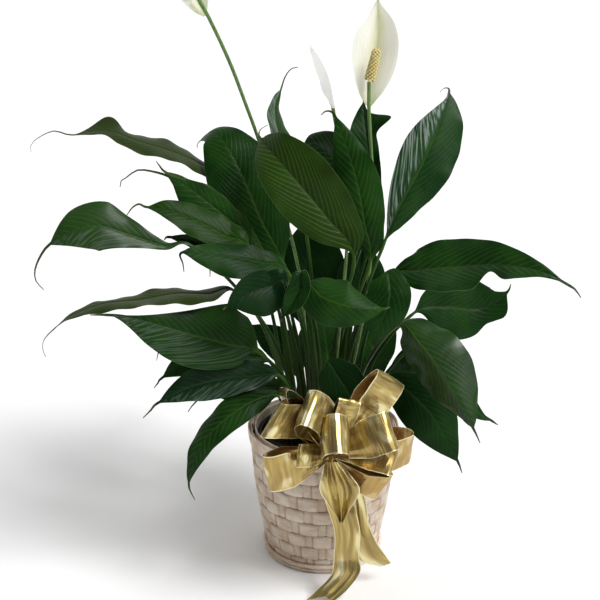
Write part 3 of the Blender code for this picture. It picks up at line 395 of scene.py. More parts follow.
# Leaves. root: degrees round the pot and centimetres from its middle. spine: the midrib from the
# blade's base to its tip. edges: the left and right edge at the widest place, seen on the upper
# face with the tip upwards. wide: where that is along the blade. base and tip: power and fullness
# of the outline on either side of it. rightSide: the same three for a right half of another shape.
# folds: share of the length, half, rise in centimetres and added width. tail: the drip tip.
# how: what its places are, picture points with a depth unless it says otherwise.
# tone: olive is how yellow the leaf is, and below 0 how blue; gloss how shiny it is, pale how light
# its upper face, veins how clear its veins, sheen how strong the painted highlight on its left half, shade
# how much painted shade darkens it.
roundBase, drawnTip = (2.0, 0.75), (2.0, 1.05)
leafTable = {
    "leaf_centre_big": dict(
        root=(-70, 1.1), wide=0.5, base=(2.0, 1.15), tip=(2.0, 0.75),
        rightSide=(0.5, roundBase, (2.0, 0.75)), tone=dict(olive=0.45, gloss=0.1, veins=1.0),
        spine=[(354, 258, -3), (327, 218, -3), (299, 184, -2), (275, 156, 0), (261, 139, 3)],
        edges=((273, 204, -3), (326, 160, -2.5)), tail=[(259, 134, 4.5), (261, 129, 5), (268, 125, 5.5)]),
    "leaf_left_upright": dict(
        root=(168, 1.1), wide=0.45, tone=dict(veins=0.5, shade=0.3),
        spine=[(283, 262, 2.5), (262, 222, 2.8), (246, 184, 3.3), (228, 148, 4.8), (213, 133, 6.6),
               (199, 142, 8.0)], edges=((212, 200, 2.6), (277, 170, 5.2)), tail=[(197, 148, 8.2)]),
    "leaf_right_upright": dict(
        root=(-10, 1.1), wide=0.45, tone=dict(veins=0.55, shade=0.2),
        spine=[(370, 262, -1), (365, 225, -1), (358, 185, 0), (346, 145, 1.6), (335, 116, 2.6)],
        edges=((336, 196, 0.2), (382, 186, 0.2)), tail=[(327, 111, 3), (321, 115, 3.2)]),
    "leaf_back_centre": dict(
        root=(66, 2.1), wide=0.5, tone=dict(olive=-0.3, gloss=0.9, pale=0.25, veins=0.8),
        spine=[(370, 212, 6), (352, 180, 6.3), (330, 155, 6.8), (312, 143, 8), (304, 144, 9)],
        edges=((316, 176, 7), (340, 122, 6.5)), tail=[(300, 149, 9.4)]),
    "leaf_back_right": dict(
        root=(52, 3.2), wide=0.5, folds=[(0.8, 1, 0.2, 1.9)], tone=dict(shade=0.3),
        spine=[(376, 220, 8), (372, 180, 8.5), (367, 140, 9.5), (364, 116, 11), (364, 101, 12)],
        edges=((348, 158, 9), (381, 164, 8.5)), tail=[(364, 97, 12.4)]),
    "leaf_back_spike": dict(
        root=(110, 1.1), wide=0.62, base=(1.0, 1.0), tone=dict(pale=1.0, sheen=0.6),
        spine=[(306, 232, 8), (292, 180, 9.4), (279, 135, 11), (275, 108, 12.5), (281, 89, 14)],
        edges=((268, 122, 9.0), (284, 124, 13.4)), tail=[(285, 77, 14.6), (291, 69, 15), (298, 67, 15.4)]),
    "leaf_right_high": dict(
        root=(0, 2.1), wide=0.58, base=(2.0, 1.5), tip=(2.0, 1.5),
        rightSide=(0.64, (2.0, 0.98), (2.0, 0.8)), tone=dict(olive=-0.3, gloss=0.6, sheen=0.8),
        spine=[(385, 241, 2), (401, 204, 2.4), (422, 165, 3.6), (438, 128, 5.6), (449, 93, 8)],
        edges=((401, 148, 4.0), (460, 153, 5.4)), tail=[(445, 88, 8.6), (440, 92, 9)]),
    "leaf_right_long": dict(
        root=(-14, 3.2), wide=0.34, base=(2.0, 1.3), tip=(2.0, 1.7),
        rightSide=(0.34, (2.0, 1.3), (2.0, 1.75)), folds=[(0.57, 1, 0.3, -0.5)],
        tone=dict(gloss=0.75, veins=0.6, shade=0.25),
        spine=[(390, 278, -3), (420, 271, -4), (460, 267, -5), (500, 265, -6.5), (540, 271, -8),
               (570, 286, -9)], edges=((449, 239, -3), (450, 293, -7)),
        tail=[(577, 292, -9.3), (581, 298, -9.5)]),
    "leaf_right_back": dict(
        root=(14, 3.2), wide=0.45, base=(2.0, 1.2), rightSide=(0.45, (2.0, 1.2), (2.0, 1.5)),
        folds=[(0.7, 1, 0.0, -0.15), (0.86, 1, 0.2, 0.2)], tone=dict(shade=0.4),
        spine=[(414, 313, 1.6), (444, 307, 3), (474, 309, 4.4), (497, 302, 5), (508, 291, 5.4)],
        edges=((474, 272, 5.8), (466, 341, 2.8)), tail=[(511, 284, 5.6)]),
    "leaf_right_droop": dict(
        root=(-38, 3.2), wide=0.42, tip=(2.0, 0.8), rightSide=(0.4, roundBase, drawnTip),
        tone=dict(pale=0.8, gloss=0.9, veins=0.6),
        spine=[(398, 325, -5.5), (420, 344, -8), (441, 372, -10), (460, 404, -11.5), (473, 428, -12)],
        edges=((460, 342, -7.5), (415, 373, -7.5)), tail=[(477, 436, -12), (480, 443, -12)]),
    "leaf_right_low": dict(
        root=(-28, 4.3), wide=0.45, tip=(2.0, 1.3), rightSide=(0.45, roundBase, drawnTip),
        tone=dict(shade=0.6),
        spine=[(386, 376, -4), (408, 391, -5.5), (430, 413, -6.5), (447, 440, -7), (458, 462, -7)],
        edges=((445, 391, -5), (405, 426, -7)), tail=[(462, 473, -7)]),
    "leaf_right_tip": dict(
        root=(2, 4.3), wide=0.45, tip=(2.0, 1.6), rightSide=(0.45, roundBase, drawnTip),
        tone=dict(olive=-0.3),
        spine=[(418, 345, 1), (440, 368, 1), (464, 396, 0.6), (482, 414, 0.2), (492, 421, 0)],
        edges=((461, 377, 1.2), (440, 398, 0)), tail=[(498, 425, 0)]),
    "leaf_left_high": dict(
        root=(153, 3.1), wide=0.5, folds=[(0.82, 1, 0.8, 0.3)],
        tone=dict(olive=0.8, gloss=0.5, shade=0.35),
        spine=[(240, 196, 6.6), (210, 170, 5.8), (178, 154, 4.9), (140, 142, 4.0), (106, 131, 3.5),
               (72, 135, 3.0)], edges=((161, 159.5, 2.3), (159, 140.5, 7)),
        tail=[(54, 131, 2.8), (38, 138, 2.6), (31, 145, 2.6), (31, 152, 2.6)]),
    "leaf_left_second": dict(
        root=(174, 3.2), wide=0.5,
        spine=[(252, 240, -0.4), (232, 222, -0.7), (209, 203, -1.1), (189, 188, -1.5), (170, 177, -1.8)],
        edges=((190, 223, -1.9), (222, 196, -0.5)),
        tail=[(155, 172, -2), (138, 170, -2.2), (127, 177, -2.4), (121, 181, -2.5), (120, 187, -2.5)]),
    "leaf_left_behind": dict(
        root=(165, 2.1), wide=0.5, tone=dict(olive=0.6, gloss=0.4),
        spine=[(250, 228, 0.8), (225, 208, 0.5), (198, 190, 0.1), (175, 177, -0.4), (164, 171, -0.5)],
        edges=((203, 214, -0.8), (216, 192, 1.4)), tail=[(159, 165, -0.6), (156, 161, -0.6)]),
    "leaf_left_third": dict(
        root=(-176, 4.2), wide=0.5, tone=dict(olive=0.3),
        spine=[(250, 250, -3.4), (225, 236, -3.6), (197, 221, -3.8), (168, 210, -4), (146, 207, -4.1)],
        edges=((196, 238, -5.2), (202, 206, -2.4)),
        tail=[(139, 204, -4.2), (132, 208, -4.4), (127, 215, -4.5)]),
    "leaf_left_small": dict(
        root=(-150, 2.2), wide=0.5, tone=dict(shade=0.3),
        spine=[(265, 262, -1.6), (235, 253, -2.1), (207, 245, -2.8), (182, 239, -3.4), (168, 237, -3.7)],
        edges=((206, 256, -3.9), (211, 235, -2.6)), tail=[(164, 240, -3.8)]),
    "leaf_left_large": dict(
        root=(-161, 3.2), wide=0.62, base=(1.0, 1.7), tip=(2.0, 1.0),
        rightSide=(0.62, (1.0, 1.7), (2.0, 1.3)),
        tone=dict(olive=0.1, gloss=0.7, pale=0.9, veins=0.6, sheen=0.15),
        spine=[(196, 249, -6.4), (165, 246, -7), (130, 235, -7.6), (98, 226, -8.2), (70, 232, -8.8),
               (49, 245, -9)], edges=((106, 252, -9.4), (99, 200, -6.6)),
        tail=[(40, 257, -9.2), (35, 270, -9.2), (36, 281, -9.2), (44, 290, -9.2)]),
    "leaf_left_broad": dict(
        root=(-140, 1.2), wide=0.5, tone=dict(shade=0.3),
        spine=[(288, 272, -4.6), (262, 263, -6), (232, 257, -7), (202, 253, -7.6), (181, 253, -8)],
        edges=((224, 277, -8.8), (234, 243, -5.6)), tail=[(183, 264, -8), (184, 272, -8)]),
    "leaf_left_long": dict(
        root=(-144, 3.2), wide=0.34, tone=dict(olive=0.8, gloss=0.5, shade=0.3),
        spine=[(238, 293, -6), (208, 294, -7), (175, 294, -8), (140, 300, -9), (104, 304, -10),
               (72, 316, -10.6), (54, 329, -11)], edges=((177, 304, -10.4), (182, 288, -5.8)),
        tail=[(44, 340, -11.2), (43, 350, -11.2), (46, 357, -11.2)]),
    "leaf_left_wide": dict(
        root=(-126, 3.2), wide=0.46, tip=(2.0, 1.45), rightSide=(0.27, (2.0, 0.6), (1.3, 2.0)),
        tone=dict(olive=0.2, veins=0.5, sheen=0.22, shade=0.4),
        spine=[(258, 352, -6.6), (228, 345, -8), (196, 336, -9.4), (160, 325, -10.6), (128, 317, -11.8),
               (108, 315, -12.4)], edges=((180, 365, -11.2), (226, 303, -6.4)), tail=[(90, 315, -12.8)]),
    "leaf_left_spike": dict(
        root=(-156, 4.4), wide=0.5, tone=dict(shade=0.3),
        spine=[(270, 362, -3.6), (243, 356, -4.4), (214, 356, -5), (186, 363, -5.4), (162, 378, -5.6)],
        edges=((213, 374, -6.4), (222, 338, -4)), tail=[(158, 383, -5.6), (154, 388, -5.6)]),
    "leaf_left_blue": dict(
        root=(-130, 4.3), wide=0.5, tone=dict(olive=-0.5, gloss=0.7, sheen=0.3, shade=0.4),
        spine=[(280, 376, -6), (252, 376, -7), (220, 380, -8), (188, 389, -9), (158, 403, -9.6)],
        edges=((222, 398, -9.4), (213, 361, -7.2)), tail=[(151, 410, -9.8), (143, 418, -9.8)]),
    "leaf_left_under": dict(
        root=(-143, 4.3), wide=0.5, tone=dict(shade=0.4),
        spine=[(284, 390, -3.4), (258, 387, -4.4), (230, 388, -5.2), (207, 394, -5.6)],
        edges=((243, 404, -6.0), (246, 370, -4.0)),
        tail=[(199, 399, -5.5), (192, 406, -5.5), (188, 412, -5.5)]),
    "leaf_left_droop": dict(
        root=(-118, 4.3), wide=0.36, tone=dict(pale=0.2, veins=0.6, shade=0.2),
        spine=[(278, 396, -7.4), (252, 402, -9), (226, 419, -10.4), (204, 441, -11), (192, 467, -11.2),
               (189, 486, -11.2)], edges=((235, 431, -11.2), (216, 408, -9)), tail=[(195, 500, -11.2)]),
    "leaf_front": dict(
        root=(-88, 2.1), wide=0.44, base=(2.0, 0.75), tone=dict(pale=0.25, gloss=0.45),
        spine=[(307, 286, -9.6), (322, 297, -11.6), (343, 305, -12.6), (365, 309, -12.4),
               (383, 309, -11.6)], edges=((347, 283, -10.4), (333, 328, -12.8)), tail=[(390, 307, -11.2)]),
    "leaf_right_hang": dict(
        root=(-40, 2.1), wide=0.45, tone=dict(shade=0.3),
        spine=[(383, 275, -4.6), (390, 288, -6.4), (388, 306, -7.4), (380, 326, -7.8), (374, 342, -7.6)],
        edges=((411, 300, -7), (364, 302, -6.6)), tail=[(371, 350, -7.2)]),
    "leaf_left_short": dict(
        root=(-115, 2.2), wide=0.5, tone=dict(shade=0.8),
        spine=[(288, 284, -9.2), (271, 286, -10), (252, 292, -11), (236, 300, -11.8), (227, 306, -12.2)],
        edges=((262, 318, -12), (254, 271, -10.2)), tail=[(223, 310, -12.4)]),
    "leaf_centre_curl": dict(
        root=(-100, 3.1), wide=0.5, tone=dict(shade=0.5),
        spine=[(301, 275, -10.4), (300, 288, -11.4), (293, 303, -11.8), (283, 317, -12.0)],
        edges=((306, 301, -12.6), (286, 290, -11.6)), tail=[(280, 323, -12.0)]),
    "leaf_bow": dict(
        root=(-85, 4.3), wide=0.45, tone=dict(shade=0.7, olive=-0.3),
        spine=[(327, 362, -6), (338, 376, -6.8), (350, 394, -7.5), (361, 413, -7.8)],
        edges=((358, 366, -6.8), (319, 390, -7)), tail=[(365, 419, -7.8)]),
    # Leaves glimpsed as dark shapes behind the stems, then leaves at the back.
    "leaf_inner_left": dict(
        root=(100, 5.5), wide=0.5, tone=dict(shade=0.6),
        spine=[(303, 326, 6.6), (304, 298, 8), (306, 270, 9.4), (309, 240, 10.9), (311, 214, 12.2)],
        edges=((280, 262, 9.6), (346, 264, 9.6)), tail=[(311, 208, 12.6)]),
    "leaf_inner_right": dict(
        root=(68, 5.4), wide=0.5, tone=dict(shade=0.6),
        spine=[(360, 318, 6.8), (360, 298, 7.6), (360, 278, 8.4), (361, 256, 9.2), (362, 240, 9.8)],
        edges=((337, 274, 8.4), (386, 270, 8.2)), tail=[(362, 236, 10)]),
    "leaf_inner_low": dict(
        root=(138, 4.3), wide=0.5, tone=dict(shade=0.6),
        spine=[(298, 378, 4.9), (292, 358, 5.6), (282, 345, 6.4), (267, 335, 7.3), (251, 325, 8.3)],
        edges=((266, 353, 6.5), (296, 336, 6.9)), tail=[(245, 320, 8.7)]),
    "leaf_inner_side": dict(
        root=(22, 5.4), wide=0.45, tone=dict(shade=0.6),
        spine=[(388, 388, 3), (400, 375, 4), (414, 360, 5.6), (426, 345, 7.6), (434, 334, 9)],
        edges=((400, 352, 6), (426, 372, 5)), tail=[(437, 330, 9.6)]),
    "leaf_rear_left": dict(
        how=at, root=(126, 3.2), wide=0.5,
        spine=[(-7, 11, 35), (-10, 16, 38), (-13, 21, 37), (-15, 25, 33), (-16, 28, 28)],
        edges=((-15.5, 18, 36.5), (-9, 21.5, 36)), tail=[(-16.3, 29, 25)]),
    "leaf_rear_right": dict(
        root=(45, 4.2), wide=0.5,
        spine=[(366, 392, 5.2), (371, 365, 7), (375, 340, 9.5), (376, 318, 12), (375, 305, 15)],
        edges=((351, 346, 10), (396, 343, 8)), tail=[(375, 300, 17)]),
    "leaf_rear_low": dict(
        root=(95, 4.2), wide=0.5,
        spine=[(332, 390, 6), (329, 365, 8), (326, 340, 11), (324, 318, 14), (323, 303, 17)],
        edges=((298, 345, 11), (354, 345, 10.5)), tail=[(323, 298, 19)]),
    "leaf_rear_side": dict(
        how=at, root=(150, 4.3), wide=0.5,
        spine=[(-11, 7, 23), (-15, 10, 25), (-19, 13, 23), (-21.5, 15, 19.5)],
        edges=((-18.4, 9, 23), (-15.6, 15, 23)), tail=[(-22.2, 15.6, 17.5)]),
}
leafBuild = {
    "stemFoot": 0.128, "stemTop": 0.148, "stemRadius": 2.4 * mm, "neckRadius": 1.7 * mm,
    "knuckle": 0.25, "wing": 0.9, "wingGroove": 0.8, "bendOut": 0.36, "bendUp": 0.60, "curveSteps": 12,
    "thickness": 0.9 * mm, "midribDepth": 1.2 * mm, "midribHalfWidth": 1.6 * mm, "middleShare": 0.06,
    "tailHalfWidth": 1.5 * mm, "foldSpread": 0.06,
    "crown": 0.16, "waveHeight": 2.4 * mm, "wavesPerMetre": 10.7, "neckEnd": 0.1, "openBelow": 8 * mm,
    "step": 2.0 * mm, "mostSteps": 118, "stemSteps": 26, "tailSteps": 9,
    "reaches": (0.02, 0.055, 0.11, 0.19, 0.29, 0.4, 0.51, 0.62, 0.73, 0.83, 0.91, 0.97, 1.0),
    "veinSpacing": 11.0 * mm, "veinLean": 1.35, "veinArch": 34.0, "quilt": 0.30 * mm,
    "ruffle": 0.9 * mm, "rufflesPerMetre": 33.0, "grooveDepth": 0.7 * mm,
    "grooveHalfWidth": 1.3 * mm,
}
plainTone = {"olive": 0.0, "gloss": 0.5, "pale": 0.0, "veins": 0.3, "sheen": 0.0, "shade": 0.0}


def bladeShare(t, wide, base, tip):
    power, fullness = base if t <= wide else tip
    away = (wide - t) / wide if t <= wide else (t - wide) / (1 - wide)
    return max(1 - away ** power, 0.0) ** fullness


def opened(left, right, below):
    # opens the fold between the two halves where they are narrow
    side = (right - left).normalized()
    halves = []
    for half, out in ((left, -side), (right, side)):
        width = half.length
        halves.append(out.lerp(half / width, min(width / below, 1.0)).normalized() * width)
    return halves


def stemFoot(root):
    # where a stem starts in its hole in the soil, and where it leaves it; root: degrees and centimetres
    low = Vector(around(root[1] * cm, math.radians(root[0]), leafBuild["stemFoot"]))
    return low, Vector((low.x, low.y, leafBuild["stemTop"]))


def carriedEdges(edges, points, headings, widest):
    # the two half widths where the blade is widest, each carried to every other station
    sides = []
    for edge, k in zip(edges, widest):
        reach = edge - points[k]
        reach -= headings[k] * reach.dot(headings[k])
        sides.append(turnedAlong(reach, headings, k))
    return sides


def halfNormals(heading, halves):
    normals = (heading.cross(halves[0]).normalized(), halves[1].cross(heading).normalized())
    return normals, (normals[0] + normals[1]).normalized()


def stemRing(middle, side, normal, radius, sheath=0.0):
    # a ring round a stem, with one point for each point of the blade; the sheath is a winged groove
    build = leafBuild
    count = 2 * len(build["reaches"]) + 1
    ring = []
    for k in range(2 * count):
        angle = math.pi - math.pi * (k + 0.5) / count
        wing = 1 + sheath * (build["wing"] * abs(math.cos(angle)) ** 3)
        sink = sheath * build["wingGroove"] * radius * max(math.sin(angle), 0.0) ** 3
        ring.append(middle + side * (radius * wing * math.cos(angle))
                    + normal * (radius * math.sin(angle) - sink))
    return ring


def leafStations(root, spine, tail):
    # points along stem, blade and tail, their headings, how far along the blade or stem each is
    build = leafBuild
    low, top = stemFoot(root)
    run = spine[0] - top
    bend = top + Vector((run.x * build["bendOut"], run.y * build["bendOut"], run.z * build["bendUp"]))
    steps = build["curveSteps"]
    curve = smoothCurve([low, top, bend, *spine, *tail], steps)
    total = lengthsAlong(curve)
    topAt, baseAt, tipAt = total[steps], total[3 * steps], total[(2 + len(spine)) * steps]
    stem, ending = build["stemSteps"], build["tailSteps"]
    blade = min(int((tipAt - baseAt) / build["step"]), build["mostSteps"])
    places = [(0.0, None)]
    places += [(topAt + (baseAt - topAt) * k / stem, None) for k in range(stem + 1)]
    places += [(baseAt + (tipAt - baseAt) * k / blade, k / blade) for k in range(1, blade + 1)]
    places += [(tipAt + (total[-1] - tipAt) * k / ending, 1 + k / ending) for k in range(1, ending + 1)]
    points = [pointAt(curve, total, s) for s, _ in places]
    headings = []
    for s, _ in places:
        reach = pointAt(curve, total, min(s + build["step"], total[-1]))
        headings.append((reach - pointAt(curve, total, max(s - build["step"], 0.0))).normalized())
    shares = [min(max((s - topAt) / (baseAt - topAt), 0.0), 1.0) for s, _ in places]
    return points, headings, [t for _, t in places], shares, tipAt - baseAt


def bladeHalves(t, length, outlines, folds, widestHalves, phase):
    # both halves at a station, how far each edge is lifted, and the half's share of its widest
    build = leafBuild
    along = min(t, 1.0)
    turn = 2 * math.pi * build["wavesPerMetre"] * along * length + phase
    halves, lifts, widths = [], [], []
    for i, half in enumerate(widestHalves):
        share = bladeShare(along, *outlines[i])
        lift = build["waveHeight"] * min(1.0, 1.4 * share) * math.sin(turn * (1 + 0.13 * i) + 2.1 * i)
        for place, foldSide, raised, widened in folds:
            if foldSide == i and t < 1.0:
                near = math.exp(-((t - place) / build["foldSpread"]) ** 2)
                lift += raised * cm * near
                share += widened * near
        least = build["tailHalfWidth"] * (1.0 - 0.7 * max(t - 1.0, 0.0)) / half.length
        share = max(share, least)
        halves.append(half * share)
        lifts.append(lift if t < 1.0 else 0.0)
        widths.append(share)
    return opened(*halves, build["openBelow"]), lifts, widths


def bladeRing(middle, heading, t, length, halves, lifts, widths, phase, clearness):
    # the upper and the lower face at one station, and where each point of the upper one lies
    build = leafBuild
    along = min(t, 1.0)
    ripple = 2 * math.pi * build["rufflesPerMetre"] * along * length + 2.3 * phase
    normals, between = halfNormals(heading, halves)
    upper, lower, places = [], [], []
    for u in [-r for r in reversed(build["reaches"])] + [0.0] + list(build["reaches"]):
        i, reach = int(u > 0), abs(u)
        half, width = halves[i], halves[i].length
        facing = between.lerp(normals[i], min(reach / build["middleShare"], 1.0)).normalized()
        crown = build["crown"] * width * reach * (1.25 - reach)
        sideways = reach * width
        vein = (along * length - build["veinLean"] * sideways
                - build["veinArch"] * sideways ** 2) / build["veinSpacing"] + 0.5 * i
        body = smooth(reach, 0.03, 0.2) * (1 - smooth(reach, 0.75, 1.0)) * min(1.0, 2.0 * widths[i])
        quilt = build["quilt"] * clearness * (abs(math.sin(math.pi * vein)) - 0.6) * body
        ruffle = build["ruffle"] * min(1.0, 1.6 * widths[i]) * reach ** 4 * math.sin(ripple + 1.9 * i)
        groove = (build["grooveDepth"] * (1 - along) ** 0.6
                  * math.exp(-(sideways / build["grooveHalfWidth"]) ** 2))
        place = middle + half * reach + facing * (crown + lifts[i] * reach ** 2 + quilt + ruffle)
        thin = build["thickness"] / 2 * (1 - 0.45 * reach ** 6) * (1 - 0.4 * max(t - 1.0, 0.0))
        rib = (build["midribDepth"] * (1 - along) ** 1.5
               * math.exp(-(sideways / build["midribHalfWidth"]) ** 2))
        upper.append(place + facing * (thin - groove))
        lower.append(place - facing * (thin + rib))
        places.append((u, vein, t))
    return upper + lower[::-1], places


def leafSkin(root, spine, edges, tail, wide=0.45, base=roundBase, tip=drawnTip, rightSide=None,
             folds=(), how=seen, phase=0.0, tone=None):
    build = leafBuild
    tone = {**plainTone, **(tone or {})}
    spine, edges, tail = ([how(*place) for place in row] for row in (spine, edges, tail))
    points, headings, stations, shares, length = leafStations(root, spine, tail)
    outlines = ((wide, base, tip), rightSide or (wide, base, tip))
    widest = [min((k for k, t in enumerate(stations) if t), key=lambda k: abs(stations[k] - outline[0]))
              for outline in outlines]
    sides = carriedEdges(edges, points, headings, widest)
    rings, places, kinds = [], [], []
    for k, t in enumerate(stations):
        heading, middle = headings[k], points[k]
        side = (sides[1][k] - sides[0][k]).normalized()
        normal = side.cross(heading).normalized()
        if t is None:
            share = shares[k]
            radius = build["stemRadius"] + (build["neckRadius"] - build["stemRadius"]) * share
            radius *= 1 + build["knuckle"] * math.exp(-((share - 0.95) / 0.03) ** 2)
            sheath = smooth(share, 0.02, 0.1) * (1 - smooth(share, 0.4, 0.6))
            rings.append(stemRing(middle, side, normal, radius, sheath))
            places += [(0.0, 0.0, share - 1)] * len(rings[-1])
            kinds += [(0.0, tone["olive"], tone["gloss"])] * len(rings[-1])
            continue
        halves, lifts, widths = bladeHalves(t, length, outlines, folds, (sides[0][k], sides[1][k]), phase)
        ring, seats = bladeRing(middle, heading, t, length, halves, lifts, widths, phase, tone["veins"])
        places += seats + seats[::-1]
        for underside in (tone["pale"] * 0.5, 1.0):
            kinds += [(underside, tone["olive"], tone["gloss"])] * len(seats)
        if t < build["neckEnd"]:
            neck = stemRing(middle, side, normal, build["neckRadius"])
            ring = [a.lerp(b, (t / build["neckEnd"]) ** 0.65) for a, b in zip(neck, ring)]
        rings.append(ring)
    verts, faces = joinRings(rings)
    veins = [(tone["veins"], tone["sheen"], tone["shade"])] * len(places)
    return verts, faces, {"leafPlace": places, "leafKind": kinds, "leafVeinsSheenShade": veins}


def foldedOver(value, count=1.0):
    # rises from 0 to 1 and back once for every whole step of the value times count
    phase = calc("FRACT", plus(times(value, count), 40.0))
    return calc("ABSOLUTE", minus(times(phase, 2.0), 1.0))


def makeLeafMaterial():
    # leafPlace: reach across, vein count, share along; leafKind: underside, olive, gloss;
    # the veins attribute: how clear the veins are, how strong the painted sheen on the left half, how much
    # painted shade darkens the leaf
    look = {
        "deep": (0.004, 0.026, 0.003), "fresh": (0.013, 0.056, 0.006), "olive": (0.028, 0.044, 0.004),
        "blue": (0.009, 0.034, 0.020), "vein": (0.060, 0.130, 0.022), "midrib": (0.070, 0.140, 0.022),
        "underside": (0.024, 0.050, 0.014), "neck": (0.040, 0.095, 0.013), "stem": (0.011, 0.036, 0.005),
        "sheath": (0.030, 0.056, 0.014), "dry": (0.085, 0.065, 0.045), "edge": (0.085, 0.120, 0.050),
        "sheen": (0.23, 0.28, 0.25), "shade": (0.002, 0.012, 0.004),
    }
    made, tree, shader = startMaterial("leaf", {
        "Specular IOR Level": 0.08, "IOR": 1.45, "Coat Roughness": 0.24, "Coat IOR": 1.45})
    place, kind, veins = (parts(attribute(tree, name)) for name in ("leafPlace", "leafKind", "leafVeinsSheenShade"))
    reach = calc("ABSOLUTE", place["X"])
    blade = ease(place["Z"], 0.0, 0.06)
    spots = mottled(tree, 28.0, 1500.0, 0.22)
    fan = times(ease(foldedOver(place["Y"]), 0.62, 1.0), ease(reach, 1.0, 0.5), blade)
    threads = times(ease(foldedOver(place["Y"], 5.0), 0.5, 1.0), blade)
    paleVeins = plus(times(fan, 0.62), times(threads, 0.10))
    # painted sheen: whitish streaks of reflected light painted into the colour of the blade's left half
    gleam = noiseAt(joinParts(times(place["X"], 1.6), times(place["Y"], 2.1), 0.0), 1.0, 2.0)
    shone = times(ease(gleam, 0.44, 0.62), veins["Y"], ease(place["X"], -0.04, -0.30), blade)
    midrib = times(ease(reach, 0.055, 0.015), ease(place["Z"], 1.0, 0.0))
    # painted highlight: a paler strip along the margin, as the light caught on the rolled edge
    rim = times(ease(reach, 0.975, 1.0), times(blade, 0.55))
    colour = mixColour(spots["Blotches"], look["deep"], look["fresh"])
    # in this list sheen is a painted highlight, and shade is painted shade that darkens whole leaves lying
    # in the shade of others
    for share, name in (
            (ease(kind["Y"], 0.0, 1.0), "olive"), (ease(kind["Y"], 0.0, -1.0), "blue"),
            (times(paleVeins, veins["X"]), "vein"), (times(kind["X"], 0.92), "underside"),
            (shone, "sheen"), (times(midrib, plus(0.3, times(veins["X"], 0.5))), "midrib"),
            (times(veins["Z"], 0.85), "shade"), (rim, "edge")):
        colour = mixColour(share, colour, look[name])
    # the stem is light at the neck under the blade and darker lower down: partly the petiole's own colour,
    # partly painted shade among the crowded stems
    stem = mixColour(ease(place["Z"], -0.02, -0.32), look["neck"], look["stem"])
    stem = mixColour(ease(place["Z"], -0.35, -0.75), stem, look["sheath"])
    colour = mixColour(blade, stem, colour)
    wire(shader.inputs["Base Color"], mixColour(ease(place["Z"], 1.02, 1.7), colour, look["dry"]))
    wire(shader.inputs["Roughness"], plus(
        minus(0.36, times(kind["Z"], 0.16)), times(kind["X"], 0.14), times(spots["Blotches"], 0.05)))
    wire(shader.inputs["Coat Weight"], times(ease(kind["Z"], 0.5, 1.0), 0.5))
    height = plus(times(fan, -0.10), times(threads, -0.03), times(spots["Grain"], 0.05))
    bumpInto(shader, height, 0.0012)
    return made


def makeLeaves():
    leafMaterial = makeLeafMaterial()
    for index, (node, spec) in enumerate(leafTable.items()):
        verts, faces, values = leafSkin(**spec, phase=index * 1.7)
        settle(meshObject(node + "_grown", verts, faces, leafMaterial, values), "leaf", node)


makeLeaves()
print("leaves made:", len(leafTable))


# Blooms. stalk: its way above the soil. spine and edges: the spathe's, as a leaf has them.
# white: how pure its white is, and how much the spathe glows: painted light standing in for light shining
# through it. spadix: the club from foot to tip.
bloomTable = {
    "bloom_main": dict(
        root=(28, 2.1), wide=0.55, white=0.0,
        stalk=[(366, 300, 2.4), (373, 200, 2.8), (371, 150, 3), (369, 110, 3), (369, 82, 2.6)],
        spine=[(369, 107, 3.7), (370, 92, 4.0), (375, 55, 4.4), (379, 25, 4.6), (378, 8, 4.2),
               (378, 0, 3.8)], edges=((353, 46, 3.1), (400, 44, 3.1)),
        spadix=((369.5, 80, 2.6), (377, 49, 2.2))),
    "bloom_side": dict(
        root=(50, 1.1), wide=0.5, white=1.0,
        stalk=[(346, 260, 3.4), (345, 200, 3.6), (343, 152, 3.8), (337, 130, 4), (333, 108, 4.2),
               (332, 98, 4.4)],
        spine=[(334, 108, 3.5), (333, 96, 3.1), (329, 78, 3.0), (321, 60, 3.4), (310, 44, 4.2)],
        edges=((319, 80, 4.8), (338, 76, 4.8)), spadix=((331.5, 96, 4.5), (327, 72, 4.9))),
    "bloom_tall": dict(
        root=(138, 2.1), wide=0.5, white=0.0,
        stalk=[(303, 300, 4.4), (297, 262, 5.6), (288, 226, 6.5), (272, 180, 7.0), (257, 135, 6.7),
               (246, 105, 5.3), (230, 63, 3.1), (210, 20, 1.3), (199, 0, 1.0), (194, -10, 0.9)],
        spine=[(205, 16, 1.8), (196, -2, 2.0), (184, -34, 2.2), (174, -62, 2.0), (166, -84, 1.4)],
        edges=((167, -22, 1.0), (203, -42, 1.6)), spadix=((193.5, -12, 0.9), (181, -40, 0.3))),
}
bloomBuild = {
    "stalkRadius": 2.0 * mm, "stalkSides": 16, "stalkSteps": 22, "steps": 84,
    "reaches": (0.05, 0.13, 0.22, 0.31, 0.41, 0.51, 0.61, 0.71, 0.81, 0.9, 0.96, 1.0),
    "leastHalf": 2.5 * mm, "tipHalf": 0.9 * mm, "wave": 1.5 * mm, "crown": 0.16, "thickness": 0.9 * mm,
    "veins": 7.0, "quilt": 0.22 * mm, "curveSteps": 10,
}
# turn: degrees from one floret to the next. core: the core's share of the club's radius. lean: how
# far the top florets point upwards. The club is rounded below and above these shares of its length.
spadixBuild = {
    "Radius": 5.0 * mm, "Florets": 124, "Floret Size": 1.72 * mm, "Taper": 0.22, "Bulge": 0.78,
    "turn": 137.508, "smallest": 0.86, "largest": 1.12, "core": 0.97, "lean": 1.6,
    "roundBelow": 0.08, "roundAbove": 0.84, "roundReach": 0.16, "leastRound": 0.03,
}


